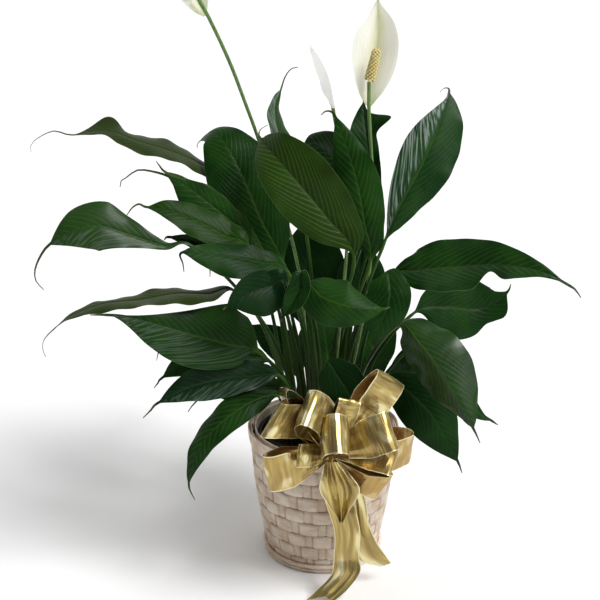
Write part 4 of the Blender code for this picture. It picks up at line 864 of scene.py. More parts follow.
def spatheSkin(spine, edges, wide, white):
    build = bloomBuild
    curve = smoothCurve([seen(*place) for place in spine], build["curveSteps"])
    total = lengthsAlong(curve)
    stations = [k / build["steps"] for k in range(build["steps"] + 1)]
    points = [pointAt(curve, total, total[-1] * t) for t in stations]
    headings = directions(points)
    widest = min(range(len(stations)), key=lambda k: abs(stations[k] - wide))
    sides = carriedEdges([seen(*place) for place in edges], points, headings, (widest, widest))
    rings, places = [], []
    for k, t in enumerate(stations):
        share = bladeShare(t, wide, roundBase, drawnTip)
        least = build["leastHalf"] + (build["tipHalf"] - build["leastHalf"]) * smooth(t, 0.3, 0.8)
        halves = opened(*[side[k] * max(share, least / side[k].length) for side in sides],
                        leafBuild["openBelow"])
        normals, between = halfNormals(headings[k], halves)
        waves = (build["wave"] * share * math.sin(9 * t), build["wave"] * share * math.sin(8 * t + 2))
        upper, lower = [], []
        for u in [-r for r in reversed(build["reaches"])] + [0.0] + list(build["reaches"]):
            i, reach = int(u > 0), abs(u)
            facing = between.lerp(normals[i], min(reach / 0.1, 1.0)).normalized()
            crown = build["crown"] * halves[i].length * reach * (1.25 - reach)
            vein = build["veins"] * u * math.sqrt(max(share, 0.02)) / max(share, 0.25) ** 0.5
            quilt = build["quilt"] * (abs(math.sin(math.pi * vein)) - 0.6) * min(1.0, 2 * share)
            place = points[k] + halves[i] * reach + facing * (crown + waves[i] * reach ** 2 + quilt)
            thin = facing * (build["thickness"] / 2 * (1 - 0.45 * reach ** 6))
            upper.append(place + thin)
            lower.append(place - thin)
            places.append((u, t, 1.0))
        places += [(u, t, 0.0) for u, t, _ in places[-len(upper):][::-1]]
        rings.append(upper + lower[::-1])
    verts, faces = joinRings(rings)
    return verts, faces, {"petalPlace": places, "petalWhiteAndGlow": [(white, 0.0, 0.0)] * len(places)}


def makeSpatheMaterial():
    # petalPlace: reach across, share along, face; the tone attribute: how pure the white is, and how
    # strongly the spathe glows with painted light
    look = {
        "white": (0.93, 0.92, 0.80), "green": (0.60, 0.63, 0.36), "vein": (0.74, 0.76, 0.55),
        "back": (0.90, 0.92, 0.84), "tip": (0.50, 0.54, 0.26), "pure": (0.95, 0.96, 0.95),
        "unlit": (0.0, 0.0, 0.0),
    }
    # the emission is painted light: a glow standing in for light shining through the thin white spathe
    made, tree, shader = startMaterial("spathe", {
        "Subsurface Weight": 0.45, "Subsurface Radius": (1.0, 1.0, 0.7), "Subsurface Scale": 0.004,
        "Specular IOR Level": 0.3, "Emission Strength": 0.26})
    place = parts(attribute(tree, "petalPlace"))
    reach = calc("ABSOLUTE", place["X"])
    spots = mottled(tree, 35.0, 2200.0, 0.25)
    middle = times(ease(reach, 0.6, 0.0), 0.62)
    foot = times(ease(place["Y"], 0.22, 0.0), 0.75)
    tone = plus(calc("MAXIMUM", middle, foot), times(spots["Blotches"], 0.08))
    lines = calc("ABSOLUTE", minus(calc("FRACT", times(place["X"], bloomBuild["veins"])), 0.5))
    lines = times(ease(lines, 0.30, 0.5), 0.30)
    whiteAndGlow = times(parts(attribute(tree, "petalWhiteAndGlow"))["X"], 0.85)
    colour = mixColour(tone, look["white"], look["green"])
    for share, name in ((lines, "vein"), (times(ease(place["Z"], 0.6, 0.4), 0.5), "back"),
                        (ease(place["Y"], 0.97, 1.0), "tip"), (whiteAndGlow, "pure")):
        colour = mixColour(share, colour, look[name])
    # painted light: the pure white spathe glows a little, as if lit through
    wire(shader.inputs["Emission Color"], mixColour(whiteAndGlow, look["unlit"], look["pure"]))
    height = plus(times(lines, 0.5), times(spots["Grain"], 0.12))
    finishSurface(shader, colour, (0.42, 0.16), spots["Grain"], height, 0.001)
    return made


def makeStalkMaterial():
    look = {"light": (0.17, 0.27, 0.08), "dark": (0.06, 0.14, 0.03)}
    made, tree, shader = startMaterial("stalk", {"Specular IOR Level": 0.3})
    fibres = streaked(tree, (900.0, 900.0, 25.0), 0.2)
    colour = mixColour(fibres["Streaks"], look["light"], look["dark"])
    finishSurface(shader, colour, (0.36, 0.2), fibres["Fibres"], fibres["Fibres"], 0.0004)
    return made


def makeSpadixMaterial():
    # floret holds how far out of the club a place lies; the gap colour is painted shade, darker low down
    # between the florets
    look = {"top": (0.77, 0.59, 0.20), "gap": (0.22, 0.16, 0.035), "pale": (0.87, 0.75, 0.37)}
    made, tree, shader = startMaterial("spadix", {
        "Subsurface Weight": 0.12, "Subsurface Radius": (0.002, 0.002, 0.001), "Subsurface Scale": 1.0})
    out = parts(attribute(tree, "floret"))["X"]
    spots = mottled(tree, 260.0, 3000.0, 0.2)
    colour = mixColour(spots["Blotches"], look["top"], look["pale"])
    # painted shade: dark brown low down between the florets
    colour = mixColour(ease(out, 0.75, 0.0), colour, look["gap"])
    finishSurface(shader, colour, (0.55, 0.25), spots["Grain"], spots["Grain"], 0.0005)
    return made


def geometryNode(tree, kind, inputs=None, **settings):
    return addNode(tree, "GeometryNode" + kind, inputs, **settings).outputs[0]


def aroundAxis(radius, angle, height):
    return joinParts(times(calc("COSINE", angle), radius), times(calc("SINE", angle), radius), height)


def makeSpadixTree(look):
    # a club of florets on a rising spiral, grown along Z, then aimed and set on its foot
    build = spadixBuild
    tree, given, out = startGroup(
        "spadix tree",
        [("Geometry", "Geometry", None), ("Length", "Float", 0.035), ("Radius", "Float", 0.006),
         ("Florets", "Int", 200), ("Floret Size", "Float", 0.0014), ("Taper", "Float", 0.2),
         ("Bulge", "Float", 0.7), ("Foot", "Vector", (0.0, 0.0, 0.0)), ("Aim", "Vector", (0.0, 0.0, 1.0))],
        [("Geometry", "Geometry")], "GeometryNodeTree")

    def girth(share):
        # the club's radius at a share of its length: rounded at both ends, thinner at the top
        lean = minus(1.0, times(share, given["Taper"]))
        low, high, reach = build["roundBelow"], build["roundAbove"], build["roundReach"]
        top = calc("MAXIMUM", over(minus(share, high), reach), 0.0)
        foot = calc("MAXIMUM", over(minus(low, share), reach), 0.0)
        bend = plus(times(top, top), times(foot, foot))
        rounding = calc("SQRT", calc("MAXIMUM", minus(1.0, bend), build["leastRound"]))
        return times(lean, rounding, given["Radius"])

    line = geometryNode(tree, "MeshLine", {"Count": given["Florets"]}, mode="OFFSET")
    index = geometryNode(tree, "InputIndex")
    share = over(plus(index, 0.5), given["Florets"])
    angle = times(index, math.radians(build["turn"]))
    place = aroundAxis(girth(share), angle, times(share, given["Length"]))
    spiral = geometryNode(tree, "SetPosition", {"Geometry": line, "Position": place})
    floret = geometryNode(tree, "MeshUVSphere", {"Segments": 8, "Rings": 5, "Radius": 1.0})
    rise = parts(geometryNode(tree, "InputPosition"))["Z"]
    marked = addNode(tree, "GeometryNodeStoreNamedAttribute", {"Geometry": floret, "Name": "floret"},
                     data_type="FLOAT_VECTOR", domain="POINT")
    wire(enabledSocket(marked.inputs), joinParts(rise, 0.0, 0.0))
    upright = joinParts(0.0, 0.0, times(ease(share, 0.8, 1.0), build["lean"]))
    facing = calc("ADD", aroundAxis(1.0, angle, 0.0), upright, kind="ShaderNodeVectorMath")
    turn = addNode(tree, "FunctionNodeAlignRotationToVector", {"Vector": facing}, axis="Z")
    vary = addNode(tree, "FunctionNodeRandomValue", {"Seed": 4}, data_type="FLOAT")
    wire(vary.inputs[2], build["smallest"])
    wire(vary.inputs[3], build["largest"])
    size = times(enabledSocket(vary.outputs), given["Floret Size"])
    florets = geometryNode(tree, "InstanceOnPoints", {
        "Points": spiral, "Instance": marked.outputs[0], "Rotation": turn.outputs[0],
        "Scale": joinParts(size, size, times(size, given["Bulge"]))})
    core = geometryNode(tree, "MeshCone", {
        "Vertices": 24, "Side Segments": 24, "Fill Segments": 3, "Radius Top": 1.0, "Radius Bottom": 1.0,
        "Depth": given["Length"]})
    there = parts(geometryNode(tree, "InputPosition"))
    slim = times(girth(over(there["Z"], given["Length"])), build["core"])
    slimmed = joinParts(times(there["X"], slim), times(there["Y"], slim), there["Z"])
    club = geometryNode(tree, "SetPosition", {"Geometry": core, "Position": slimmed})
    both = addNode(tree, "GeometryNodeJoinGeometry")
    wire(both.inputs[0], florets)
    wire(both.inputs[0], club)
    aimed = addNode(tree, "FunctionNodeAlignRotationToVector", {"Vector": given["Aim"]}, axis="Z")
    placed = geometryNode(tree, "Transform", {
        "Geometry": both.outputs[0], "Translation": given["Foot"], "Rotation": aimed.outputs[0]})
    wire(out["Geometry"], finishGrown(placed, look))
    return tree


def makeBlooms():
    build = bloomBuild
    stalkMaterial, spatheMaterial = makeStalkMaterial(), makeSpatheMaterial()
    spadixTree = makeSpadixTree(makeSpadixMaterial())
    for name, spec in bloomTable.items():
        route = [*stemFoot(spec["root"]), *(seen(*place) for place in spec["stalk"])]
        rings = tubeRings(route, build["stalkRadius"], build["stalkSides"], build["stalkSteps"])
        settle(meshObject(name + "_stem", *joinRings(rings), stalkMaterial), "stalk", name + "_stalk")
        verts, faces, values = spatheSkin(spec["spine"], spec["edges"], spec["wide"], spec["white"])
        hood = meshObject(name + "_hood", verts, faces, spatheMaterial, values)
        settle(hood, "spathe", name + "_spathe")
        foot, tip = (seen(*place) for place in spec["spadix"])
        club = meshObject(name + "_club", [(0, 0, 0)], [])
        length = {"Length": (tip - foot).length, "Foot": tuple(foot), "Aim": tuple(tip - foot)}
        settle(grow(club, spadixTree, {**spadixBuild, **length}), "spadix", name + "_spadix")


makeBlooms()
print("blooms made:", len(bloomTable))


# The basket: chip strips woven over upright stakes, two rim bands and two withy hoops at the foot.
basketBuild = {
    "Height": 160 * mm, "Base Radius": 63.5 * mm, "Top Radius": 84 * mm, "Swell": 4.2 * mm,
    "Rows": 9, "Stakes": 30, "Row Height": 17.56 * mm, "Relief": 2.0 * mm,
    "Strip Width": 17.4 * mm, "Strip Thickness": 0.9 * mm, "Crown": 0.45 * mm,
    "Stake Width": 9.0 * mm, "Stake Top": 157 * mm, "Jitter": 0.5 * mm,
}
rimBuild = {
    "bandHeight": 17 * mm, "rimRadius": 90 * mm, "bandThickness": 2.2 * mm, "relief": 2.4 * mm,
    "wall": 2.4 * mm, "gap": 0.3 * mm, "liningThickness": 1.8 * mm, "columns": 192,
    "hoopRadius": 2.3 * mm, "hoopHeights": (3.2 * mm, 8.4 * mm), "hoopSides": 14, "floor": 3.0 * mm,
    "bandWobble": 0.7 * mm, "liningWobble": 0.4 * mm, "hoopWobble": 0.35 * mm,
}


def wallRadius(height):
    build = basketBuild
    share = height / build["Height"]
    return (build["Base Radius"] + (build["Top Radius"] - build["Base Radius"]) * share
            + build["Swell"] * math.sin(math.pi * share))


def makeWoodMaterial(name, stretch, tint=0.0):
    # whitewashed chip wood: pinkish tan, chalky on its high fibres
    look = {
        "wood": (0.56, 0.40, 0.28), "pale": (0.70, 0.55, 0.42), "wash": (0.84, 0.74, 0.63),
        "dark": (0.36, 0.23, 0.15),
    }
    made, tree, shader = startMaterial(name, {"Specular IOR Level": 0.3})
    fibres = streaked(tree, stretch, 0.16)
    spots = mottled(tree, 45.0, 2500.0, 0.25)
    colour = mixColour(fibres["Streaks"], look["wood"], look["pale"])
    wash = times(fibres["Fibres"], plus(times(spots["Blotches"], 0.7), 0.45 - tint))
    colour = mixColour(ease(wash, 0.18, 0.62), colour, look["wash"])
    colour = mixColour(times(ease(fibres["Fibres"], 0.36, 0.24), 0.7), colour, look["dark"])
    height = plus(fibres["Fibres"], times(spots["Grain"], 0.3))
    finishSurface(shader, colour, (0.55, 0.3), fibres["Fibres"], height, 0.0008)
    return made


weaveInputs = [
    ("Geometry", "Geometry", None), ("Height", "Float", 0.16), ("Base Radius", "Float", 0.06),
    ("Top Radius", "Float", 0.08), ("Swell", "Float", 0.004), ("Rows", "Int", 9), ("Stakes", "Int", 30),
    ("Row Height", "Float", 0.017), ("Relief", "Float", 0.002), ("Strip Width", "Float", 0.016),
    ("Strip Thickness", "Float", 0.001), ("Crown", "Float", 0.001), ("Stake Width", "Float", 0.009),
    ("Stake Top", "Float", 0.157), ("Jitter", "Float", 0.0005),
]
weaveOutputs = [("Geometry", "Geometry")]
# layout: the radius that the strips are laid out on. dip and outside: where a strip's dip under a
# stake, or a stake's way out, starts and ends. stakeRadius: the wall's radius that stakes are bent to.
weaveBuild = {
    "layout": 0.1, "roundSteps": 300, "dip": (0.62, 0.97), "dipDepth": 0.95, "dipNarrows": 0.12,
    "dipFlattens": 0.6, "swayLift": 1.6, "outside": (0.3, 0.75), "stakeSteps": 100,
    "stakeLift": 0.6 * mm, "stakeSway": 0.03, "stakeRadius": 78 * mm, "stakeBow": 1.6 * mm,
    "stakeSink": 0.4 * mm,
}


def makeWallGroup():
    # a height's place on the basket's wall, and a place round it
    tree, given, out = startGroup(
        "basket wall",
        [("Angle", "Float", 0.0), ("Height", "Float", 0.0), ("Out", "Float", 0.0),
         ("Basket Height", "Float", 0.16), *weaveInputs[2:5]],
        [("Position", "Vector")], "GeometryNodeTree")
    share = over(given["Height"], given["Basket Height"])
    slope = times(share, minus(given["Top Radius"], given["Base Radius"]))
    bulge = times(calc("SINE", times(share, math.pi)), given["Swell"])
    radius = plus(plus(given["Base Radius"], slope), plus(bulge, given["Out"]))
    wire(out["Position"], aroundAxis(radius, given["Angle"], given["Height"]))
    return tree


def placeOnWall(given, wallGroup, geometry, angle, height, outward, look):
    # bends a flat layout round the basket's wall and gives it its material
    tree = geometry.id_data
    place = placeGroup(tree, wallGroup, {
        "Angle": angle, "Height": height, "Out": outward, "Basket Height": given["Height"],
        **{name: given[name] for name in ("Base Radius", "Top Radius", "Swell")}}, "GeometryNodeGroup")
    placed = geometryNode(tree, "SetPosition", {"Geometry": geometry, "Position": place["Position"]})
    smoothed = geometryNode(tree, "SetShadeSmooth", {"Geometry": placed, "Shade Smooth": True})
    return finishGrown(smoothed, look)


def halfWave(angle):
    # 0 at every whole turn and 1 between
    return minus(0.5, times(calc("COSINE", angle), 0.5))


def numberedCopies(tree, geometry, count):
    # copies of one piece on a row of points, each marked with its number
    line = geometryNode(tree, "MeshLine", {"Count": count, "Offset": (0.0, 0.0, 0.0)}, mode="OFFSET")
    copies = geometryNode(tree, "InstanceOnPoints", {"Points": line, "Instance": geometry})
    marked = addNode(tree, "GeometryNodeStoreNamedAttribute", {"Geometry": copies, "Name": "number"},
                     data_type="FLOAT", domain="INSTANCE")
    wire(enabledSocket(marked.inputs), geometryNode(tree, "InputIndex"))
    real = geometryNode(tree, "RealizeInstances", {"Geometry": marked.outputs[0]})
    number = addNode(tree, "GeometryNodeInputNamedAttribute", {"Name": "number"}, data_type="FLOAT")
    return real, number.outputs["Attribute"]


def makeWeaverTree(wallGroup, look):
    # one flat strip round the basket for each row, dipping under every other stake
    build = weaveBuild
    tree, given, out = startGroup("weaver tree", weaveInputs, weaveOutputs, "GeometryNodeTree")
    ring = geometryNode(tree, "CurvePrimitiveCircle", {
        "Resolution": build["roundSteps"], "Radius": build["layout"]}, mode="RADIUS")
    upright = geometryNode(tree, "SetCurveNormal", {"Curve": ring}, mode="Z_UP")
    section = geometryNode(tree, "CurvePrimitiveQuadrilateral", {
        "Width": given["Strip Thickness"], "Height": given["Strip Width"]}, mode="RECTANGLE")
    finer = geometryNode(tree, "SubdivideCurve", {"Curve": section, "Cuts": 2})
    swept = geometryNode(tree, "CurveToMesh", {
        "Curve": upright, "Profile Curve": finer, "Fill Caps": True})
    rings, row = numberedCopies(tree, swept, given["Rows"])
    here = parts(geometryNode(tree, "InputPosition"))
    angle = calc("ARCTAN2", here["Y"], here["X"])
    radius = calc("SQRT", plus(times(here["X"], here["X"]), times(here["Y"], here["Y"])))
    layer = minus(radius, build["layout"])
    beat = plus(minus(times(angle, times(given["Stakes"], 0.5)), math.pi / 2), times(row, math.pi))
    dip = ease(halfWave(beat), *build["dip"])
    vary = noiseAt(aroundAxis(4.0, angle, times(row, 3.7)), 1.0, 1.0)
    sway = times(minus(vary, 0.5), given["Jitter"])
    shareUp = over(here["Z"], given["Strip Width"])
    bow = minus(1.0, times(shareUp, shareUp, 4.0))
    bow = times(bow, given["Crown"], minus(1.0, times(dip, build["dipFlattens"])))
    outward = times(minus(1.0, times(dip, build["dipDepth"])), given["Relief"])
    outward = plus(plus(outward, layer), plus(bow, sway))
    narrow = minus(1.0, times(dip, build["dipNarrows"]))
    lift = times(plus(row, 0.5), given["Row Height"])
    height = plus(lift, times(here["Z"], narrow), times(sway, build["swayLift"]))
    wire(out["Geometry"], placeOnWall(given, wallGroup, rings, angle, height, outward, look))
    return tree


def makeStakeTree(wallGroup, look):
    # upright strips, outside the weaver in every other row and behind it in the rest
    build = weaveBuild
    tree, given, out = startGroup("stake tree", weaveInputs, weaveOutputs, "GeometryNodeTree")
    size = joinParts(given["Stake Width"], given["Strip Thickness"], given["Stake Top"])
    strip = geometryNode(tree, "MeshCube", {
        "Size": size, "Vertices X": 4, "Vertices Y": 2, "Vertices Z": build["stakeSteps"]})
    stakes, number = numberedCopies(tree, strip, given["Stakes"])
    here = parts(geometryNode(tree, "InputPosition"))
    height = plus(here["Z"], times(given["Stake Top"], 0.5), build["stakeLift"])
    row = minus(over(height, given["Row Height"]), 0.5)
    outside = ease(halfWave(times(plus(row, number), math.pi)), *build["outside"])
    centre = over(times(plus(number, 0.5), 2 * math.pi), given["Stakes"])
    vary = noiseAt(joinParts(number, times(height, 12.0), 0.0), 1.0, 1.0)
    sway = times(minus(vary, 0.5), build["stakeSway"])
    angle = plus(centre, sway, over(here["X"], build["stakeRadius"]))
    across = over(here["X"], given["Stake Width"])
    bow = times(minus(0.25, times(across, across)), build["stakeBow"])
    outward = plus(times(outside, given["Relief"]), plus(here["Y"], bow))
    outward = minus(outward, times(minus(1.0, outside), build["stakeSink"]))
    wire(out["Geometry"], placeOnWall(given, wallGroup, stakes, angle, height, outward, look))
    return tree


def turnedRing(name, section, material, columns, wobble=0.0, seed=0.0):
    # a closed outline of (radius, height) pairs turned round Z, a little uneven
    verts = []
    for j in range(columns):
        angle = 2 * math.pi * j / columns
        spot = Vector(around(2.2, angle, seed))
        shiftOut, shiftUp = noise.noise(spot) * wobble, noise.noise(spot + Vector((9, 0, 0))) * wobble
        verts += [around(radius + shiftOut, angle, height + shiftUp) for radius, height in section]
    faces = []
    count = len(section)
    for j in range(columns):
        here, there = j * count, (j + 1) % columns * count
        for k in range(count):
            n = (k + 1) % count
            faces.append((here + k, there + k, there + n, here + n))
    return meshObject(name, verts, faces, material)


def roundedBand(foot, top, thickness, steps=10):
    # the outline of a flat band between two (radius, height) places, crowned and with round edges
    (lowRadius, low), (highRadius, high) = foot, top
    outline = []
    for side in (1, -1):
        for k in range(steps + 1):
            share = k / steps if side > 0 else 1 - k / steps
            edge = math.sin(math.pi * min(max(share, 0.02), 0.98)) ** 0.25
            radius = lowRadius + (highRadius - lowRadius) * share + side * thickness / 2 * edge
            outline.append((radius, low + (high - low) * share))
    return outline


def makeRims(wood):
    build, top = rimBuild, basketBuild["Height"]
    bandFoot = top - build["bandHeight"]
    half = build["bandThickness"] / 2
    foot = wallRadius(bandFoot) + build["relief"] + build["gap"] + half
    outer = roundedBand((foot, bandFoot), (build["rimRadius"] - half, top), build["bandThickness"])
    band = turnedRing("basket_rim_band", outer, wood, build["columns"], build["bandWobble"], 3.0)
    settle(band, "chip_wood", "basket_rim_outer")
    liningTop = wallRadius(top) - build["wall"] - build["gap"] - build["liningThickness"] / 2
    liningFoot = wallRadius(bandFoot) - build["wall"] - 3 * build["gap"] - build["liningThickness"] / 2
    inner = roundedBand((liningFoot, bandFoot), (liningTop, top), build["liningThickness"])
    lining = turnedRing("basket_rim_lining", inner, wood, build["columns"], build["liningWobble"], 7.0)
    settle(lining, "chip_wood", "basket_rim_inner")


def makeHoops(wood):
    build = rimBuild
    thick = build["hoopRadius"]
    for node, height in zip(("basket_hoop_low", "basket_hoop_high"), build["hoopHeights"]):
        radius = wallRadius(height) + build["relief"] + thick + 2 * build["gap"]
        angles = [2 * math.pi * k / build["hoopSides"] for k in range(build["hoopSides"])]
        section = [(radius + thick * math.cos(a), height + thick * math.sin(a)) for a in angles]
        hoop = turnedRing(
            node + "_withy", section, wood, build["columns"], build["hoopWobble"], height * 1000)
        settle(hoop, "withy", node)


def makeBasket():
    weaverWood = makeWoodMaterial("chip wood round", (55.0, 55.0, 950.0))
    stakeWood = makeWoodMaterial("chip wood upright", (950.0, 950.0, 45.0), tint=0.1)
    withyWood = makeWoodMaterial("withy", (90.0, 90.0, 700.0), tint=0.08)
    wallGroup = makeWallGroup()
    for name, tree in (("basket_weavers", makeWeaverTree(wallGroup, weaverWood)),
                       ("basket_stakes", makeStakeTree(wallGroup, stakeWood))):
        settle(grow(meshObject(name, [(0, 0, 0)], []), tree, basketBuild), "chip_wood", "basket_weave")
    edge, low, high = wallRadius(0.0) - 1.0 * mm, 0.4 * mm, rimBuild["floor"] - 0.2 * mm
    section = [(0.5 * mm, low), (edge, low), (edge, high), (0.5 * mm, high)]
    settle(turnedRing("basket_floor", section, weaverWood, 96), "chip_wood", "basket_weave")
    makeRims(weaverWood)
    makeHoops(withyWood)


makeBasket()
print("basket made")


# The nursery pot inside the basket, and the soil with its crumbs.
# roll: the height of the rim's roll. cut and under: how much the lip's corners are cut off.
potBuild = {
    "topRadius": 75 * mm, "baseRadius": 56 * mm, "wall": 1.6 * mm, "top": 152 * mm, "bottom": 3.3 * mm,
    "floor": 2.0 * mm, "lip": 2.2 * mm, "lipHeight": 9 * mm, "columns": 128, "gap": 0.3 * mm,
    "roll": 2.0 * mm, "cut": 0.8 * mm, "under": 0.5 * mm,
}
soilBuild = {
    "top": 142 * mm, "lump": 2.6 * mm, "bank": 9 * mm, "rings": 46, "columns": 150, "lumpsPerMetre": 90.0,
}
crumbBuild = {"Crumbs per Square Metre": 150000.0, "Smallest": 1.1 * mm, "Largest": 3.1 * mm,
              "shape": (0.75, 0.5, 0.36), "turns": (6.28, 6.28, 6.28)}


def turnedShell(name, profile, material, columns):
    # an open profile of (radius, height) pairs turned round Z, closed at both ends on the axis
    verts, rows = [], []
    for radius, height in profile:
        if radius == 0:
            rows.append([len(verts)] * columns)
            verts.append((0.0, 0.0, height))
            continue
        rows.append([len(verts) + j for j in range(columns)])
        verts += [around(radius, 2 * math.pi * j / columns, height) for j in range(columns)]
    return meshObject(name, verts, joinRows(rows), material)


def potInside(height):
    build = potBuild
    low = build["bottom"] + build["floor"]
    share = (height - low) / (build["top"] - low)
    return build["baseRadius"] + (build["topRadius"] - build["baseRadius"]) * share - build["wall"]


def makePotMaterial():
    look = {"black": (0.010, 0.010, 0.009), "dusty": (0.030, 0.026, 0.022)}
    made, tree, shader = startMaterial("pot plastic", {"Specular IOR Level": 0.1})
    spots = mottled(tree, 60.0, 1800.0, 0.3)
    colour = mixColour(spots["Blotches"], look["black"], look["dusty"])
    finishSurface(shader, colour, (0.4, 0.3), spots["Grain"], spots["Grain"], 0.0003)
    return made


def makeSoilMaterial():
    look = {"peat": (0.008, 0.006, 0.004), "fibre": (0.040, 0.025, 0.015), "bark": (0.10, 0.060, 0.036)}
    made, tree, shader = startMaterial("soil", {"Specular IOR Level": 0.12})
    spots = mottled(tree, 170.0, 2500.0, 0.14)
    chips = mottled(tree, 420.0, 5000.0, 0.08)
    colour = mixColour(spots["Blotches"], look["peat"], look["fibre"])
    colour = mixColour(times(chips["Blotches"], 0.4), colour, look["bark"])
    finishSurface(shader, colour, (0.75, 0.25), spots["Grain"], spots["Grain"], 0.0012)
    return made


def makeCrumbTree(look):
    # crumbs of peat and bark strewn over the soil, each a lump of its own turn and size
    tree, given, out = startGroup(
        "crumb tree",
        [("Geometry", "Geometry", None), ("Crumbs per Square Metre", "Float", 100000.0),
         ("Smallest", "Float", 0.001), ("Largest", "Float", 0.003)],
        [("Geometry", "Geometry")], "GeometryNodeTree")
    level = parts(geometryNode(tree, "InputNormal"))["Z"]
    points = geometryNode(tree, "DistributePointsOnFaces", {
        "Mesh": given["Geometry"], "Density": given["Crumbs per Square Metre"], "Seed": 8,
        "Selection": calc("GREATER_THAN", level, 0.5)}, distribute_method="RANDOM")
    turn = addNode(tree, "FunctionNodeRandomValue", {"Seed": 3}, data_type="FLOAT_VECTOR")
    wire(turn.inputs[1], crumbBuild["turns"])
    size = addNode(tree, "FunctionNodeRandomValue", {"Seed": 6}, data_type="FLOAT")
    wire(size.inputs[2], given["Smallest"])
    wire(size.inputs[3], given["Largest"])
    grain = enabledSocket(size.outputs)
    crumb = geometryNode(tree, "MeshIcoSphere", {"Radius": 1.0, "Subdivisions": 1})
    strewn = geometryNode(tree, "InstanceOnPoints", {
        "Points": points, "Instance": crumb, "Rotation": enabledSocket(turn.outputs),
        "Scale": joinParts(*(times(grain, share) for share in crumbBuild["shape"]))})
    both = addNode(tree, "GeometryNodeJoinGeometry")
    wire(both.inputs[0], geometryNode(tree, "RealizeInstances", {"Geometry": strewn}))
    wire(both.inputs[0], given["Geometry"])
    wire(out["Geometry"], finishGrown(both.outputs[0], look))
    return tree


def makePot():
    build = potBuild
    radius, foot, low, top = build["topRadius"], build["baseRadius"], build["bottom"], build["top"]
    inFloor, lipFoot = low + build["floor"], top - build["lipHeight"]
    lip, edge = radius + build["lip"], build["wall"] / 2
    angles = [math.pi * k / 8 for k in range(5, 9)]
    middle, roll, cut, under = radius - build["wall"] + edge, build["roll"], build["cut"], build["under"]
    rolled = [(middle + 1.5 * edge * math.cos(a), top - roll + roll * math.sin(a)) for a in angles]
    profile = [
        (0, low), (foot - 1 * mm, low), (foot, low + 1 * mm), (radius - 2 * build["gap"], lipFoot),
        (lip - under, lipFoot), (lip, lipFoot + under), (lip, top - cut), (lip - cut, top), *rolled,
        (foot - build["wall"], inFloor), (0, inFloor)]
    pot = turnedShell("nursery_pot", profile, makePotMaterial(), build["columns"])
    settle(pot, "pot_plastic", "grow_pot")


def makeSoil():
    build = soilBuild
    columns = build["columns"]
    low = potBuild["bottom"] + potBuild["floor"] + potBuild["gap"]
    topRadius = potInside(build["top"]) - 2 * potBuild["gap"]
    rows, verts = [[0] * columns], [(0.0, 0.0, low)]
    levels = [(potInside(low) - 2 * potBuild["gap"], low, 0.0), (topRadius, build["top"] - 1 * mm, 0.0)]
    levels += [(topRadius * (1 - k / build["rings"]), build["top"], 1.0) for k in range(1, build["rings"])]
    for radius, height, rough in levels:
        rows.append([len(verts) + j for j in range(columns)])
        bank = build["bank"] * smooth(radius / topRadius, 0.55, 0.97)
        for j in range(columns):
            x, y, flat = around(radius, 2 * math.pi * j / columns, height)
            rise = noise.fractal(Vector((x, y, 0.3)) * build["lumpsPerMetre"], 0.9, 2.2, 4) * rough
            verts.append((x, y, flat + (bank + build["lump"] * (0.45 + 0.8 * rise)) * rough))
    rows.append([len(verts)] * columns)
    verts.append((0.0, 0.0, build["top"] + build["lump"] * 0.5))
    look = makeSoilMaterial()
    bed = meshObject("soil_bed", verts, joinRows(rows), look)
    settle(grow(bed, makeCrumbTree(look), crumbBuild), "soil", "soil")


makePot()
makeSoil()
print("pot and soil made")


# The ribbon bow. far: a loop's far end. axis: the way across its ribbon. swell: how far it opens.
# width: the ribbon's width there. bend: how far its middle is bent aside, in centimetres.
# Where a loop has a shade setting, it says how much painted shade browns its lower face as well, for loops
# that lie in shade.
knot = seen(330, 453, -11.5)
loopTable = {
    "loop_left": dict(far=(271, 420, -15.4), axis=(0.05, 0.1, 1.0), swell=1.7, width=4.0,
                      bend=(0.4, 2.4, 0.6)),
    "loop_left_rear": dict(far=(283, 388, -10.4), axis=(0.25, -1.0, 0.35), swell=1.2, width=3.6),
    "loop_left_upper": dict(far=(308, 407, -15.4), axis=(0.05, 0.3, 1.0), swell=1.9, width=4.4,
                            bend=(0, 1.6, -0.4)),
    "loop_centre": dict(far=(337, 433, -16.6), axis=(0.0, 0.35, 0.94), swell=1.9, width=4.2),
    "loop_right": dict(far=(393, 430, -13.8), axis=(0.05, 0.3, 1.0), swell=1.7, width=4.2,
                       insideShade=0.25),
    "loop_right_rear": dict(far=(412, 447, -10.0), axis=(-0.15, -0.35, 1.0), swell=1.6, width=4.4,
                            insideShade=0.7),
    "loop_right_flat": dict(far=(394, 463, -13.4), axis=(0.0, 0.9, 0.35), swell=0.7, width=3.8,
                            insideShade=0.4),
    "loop_right_upper": dict(far=(391, 377, -10.0), axis=(0.75, 0.35, -0.55), swell=1.2, width=4.0),
    "loop_top": dict(far=(350, 400, -12.6), axis=(1.0, 0.1, 0.1), swell=0.8, width=2.4),
    "loop_left_lower": dict(far=(266, 474, -14.2), axis=(0.5, 0.15, -0.85), swell=1.2, width=4.2,
                            insideShade=0.35),
    "loop_left_small": dict(far=(298, 456, -15.4), axis=(0.25, 0.5, 0.8), swell=0.6, width=2.4),
    "loop_right_lower": dict(far=(384, 487, -12.6), axis=(-0.4, 0.1, -0.9), swell=0.9, width=3.8,
                             insideShade=0.85),
}
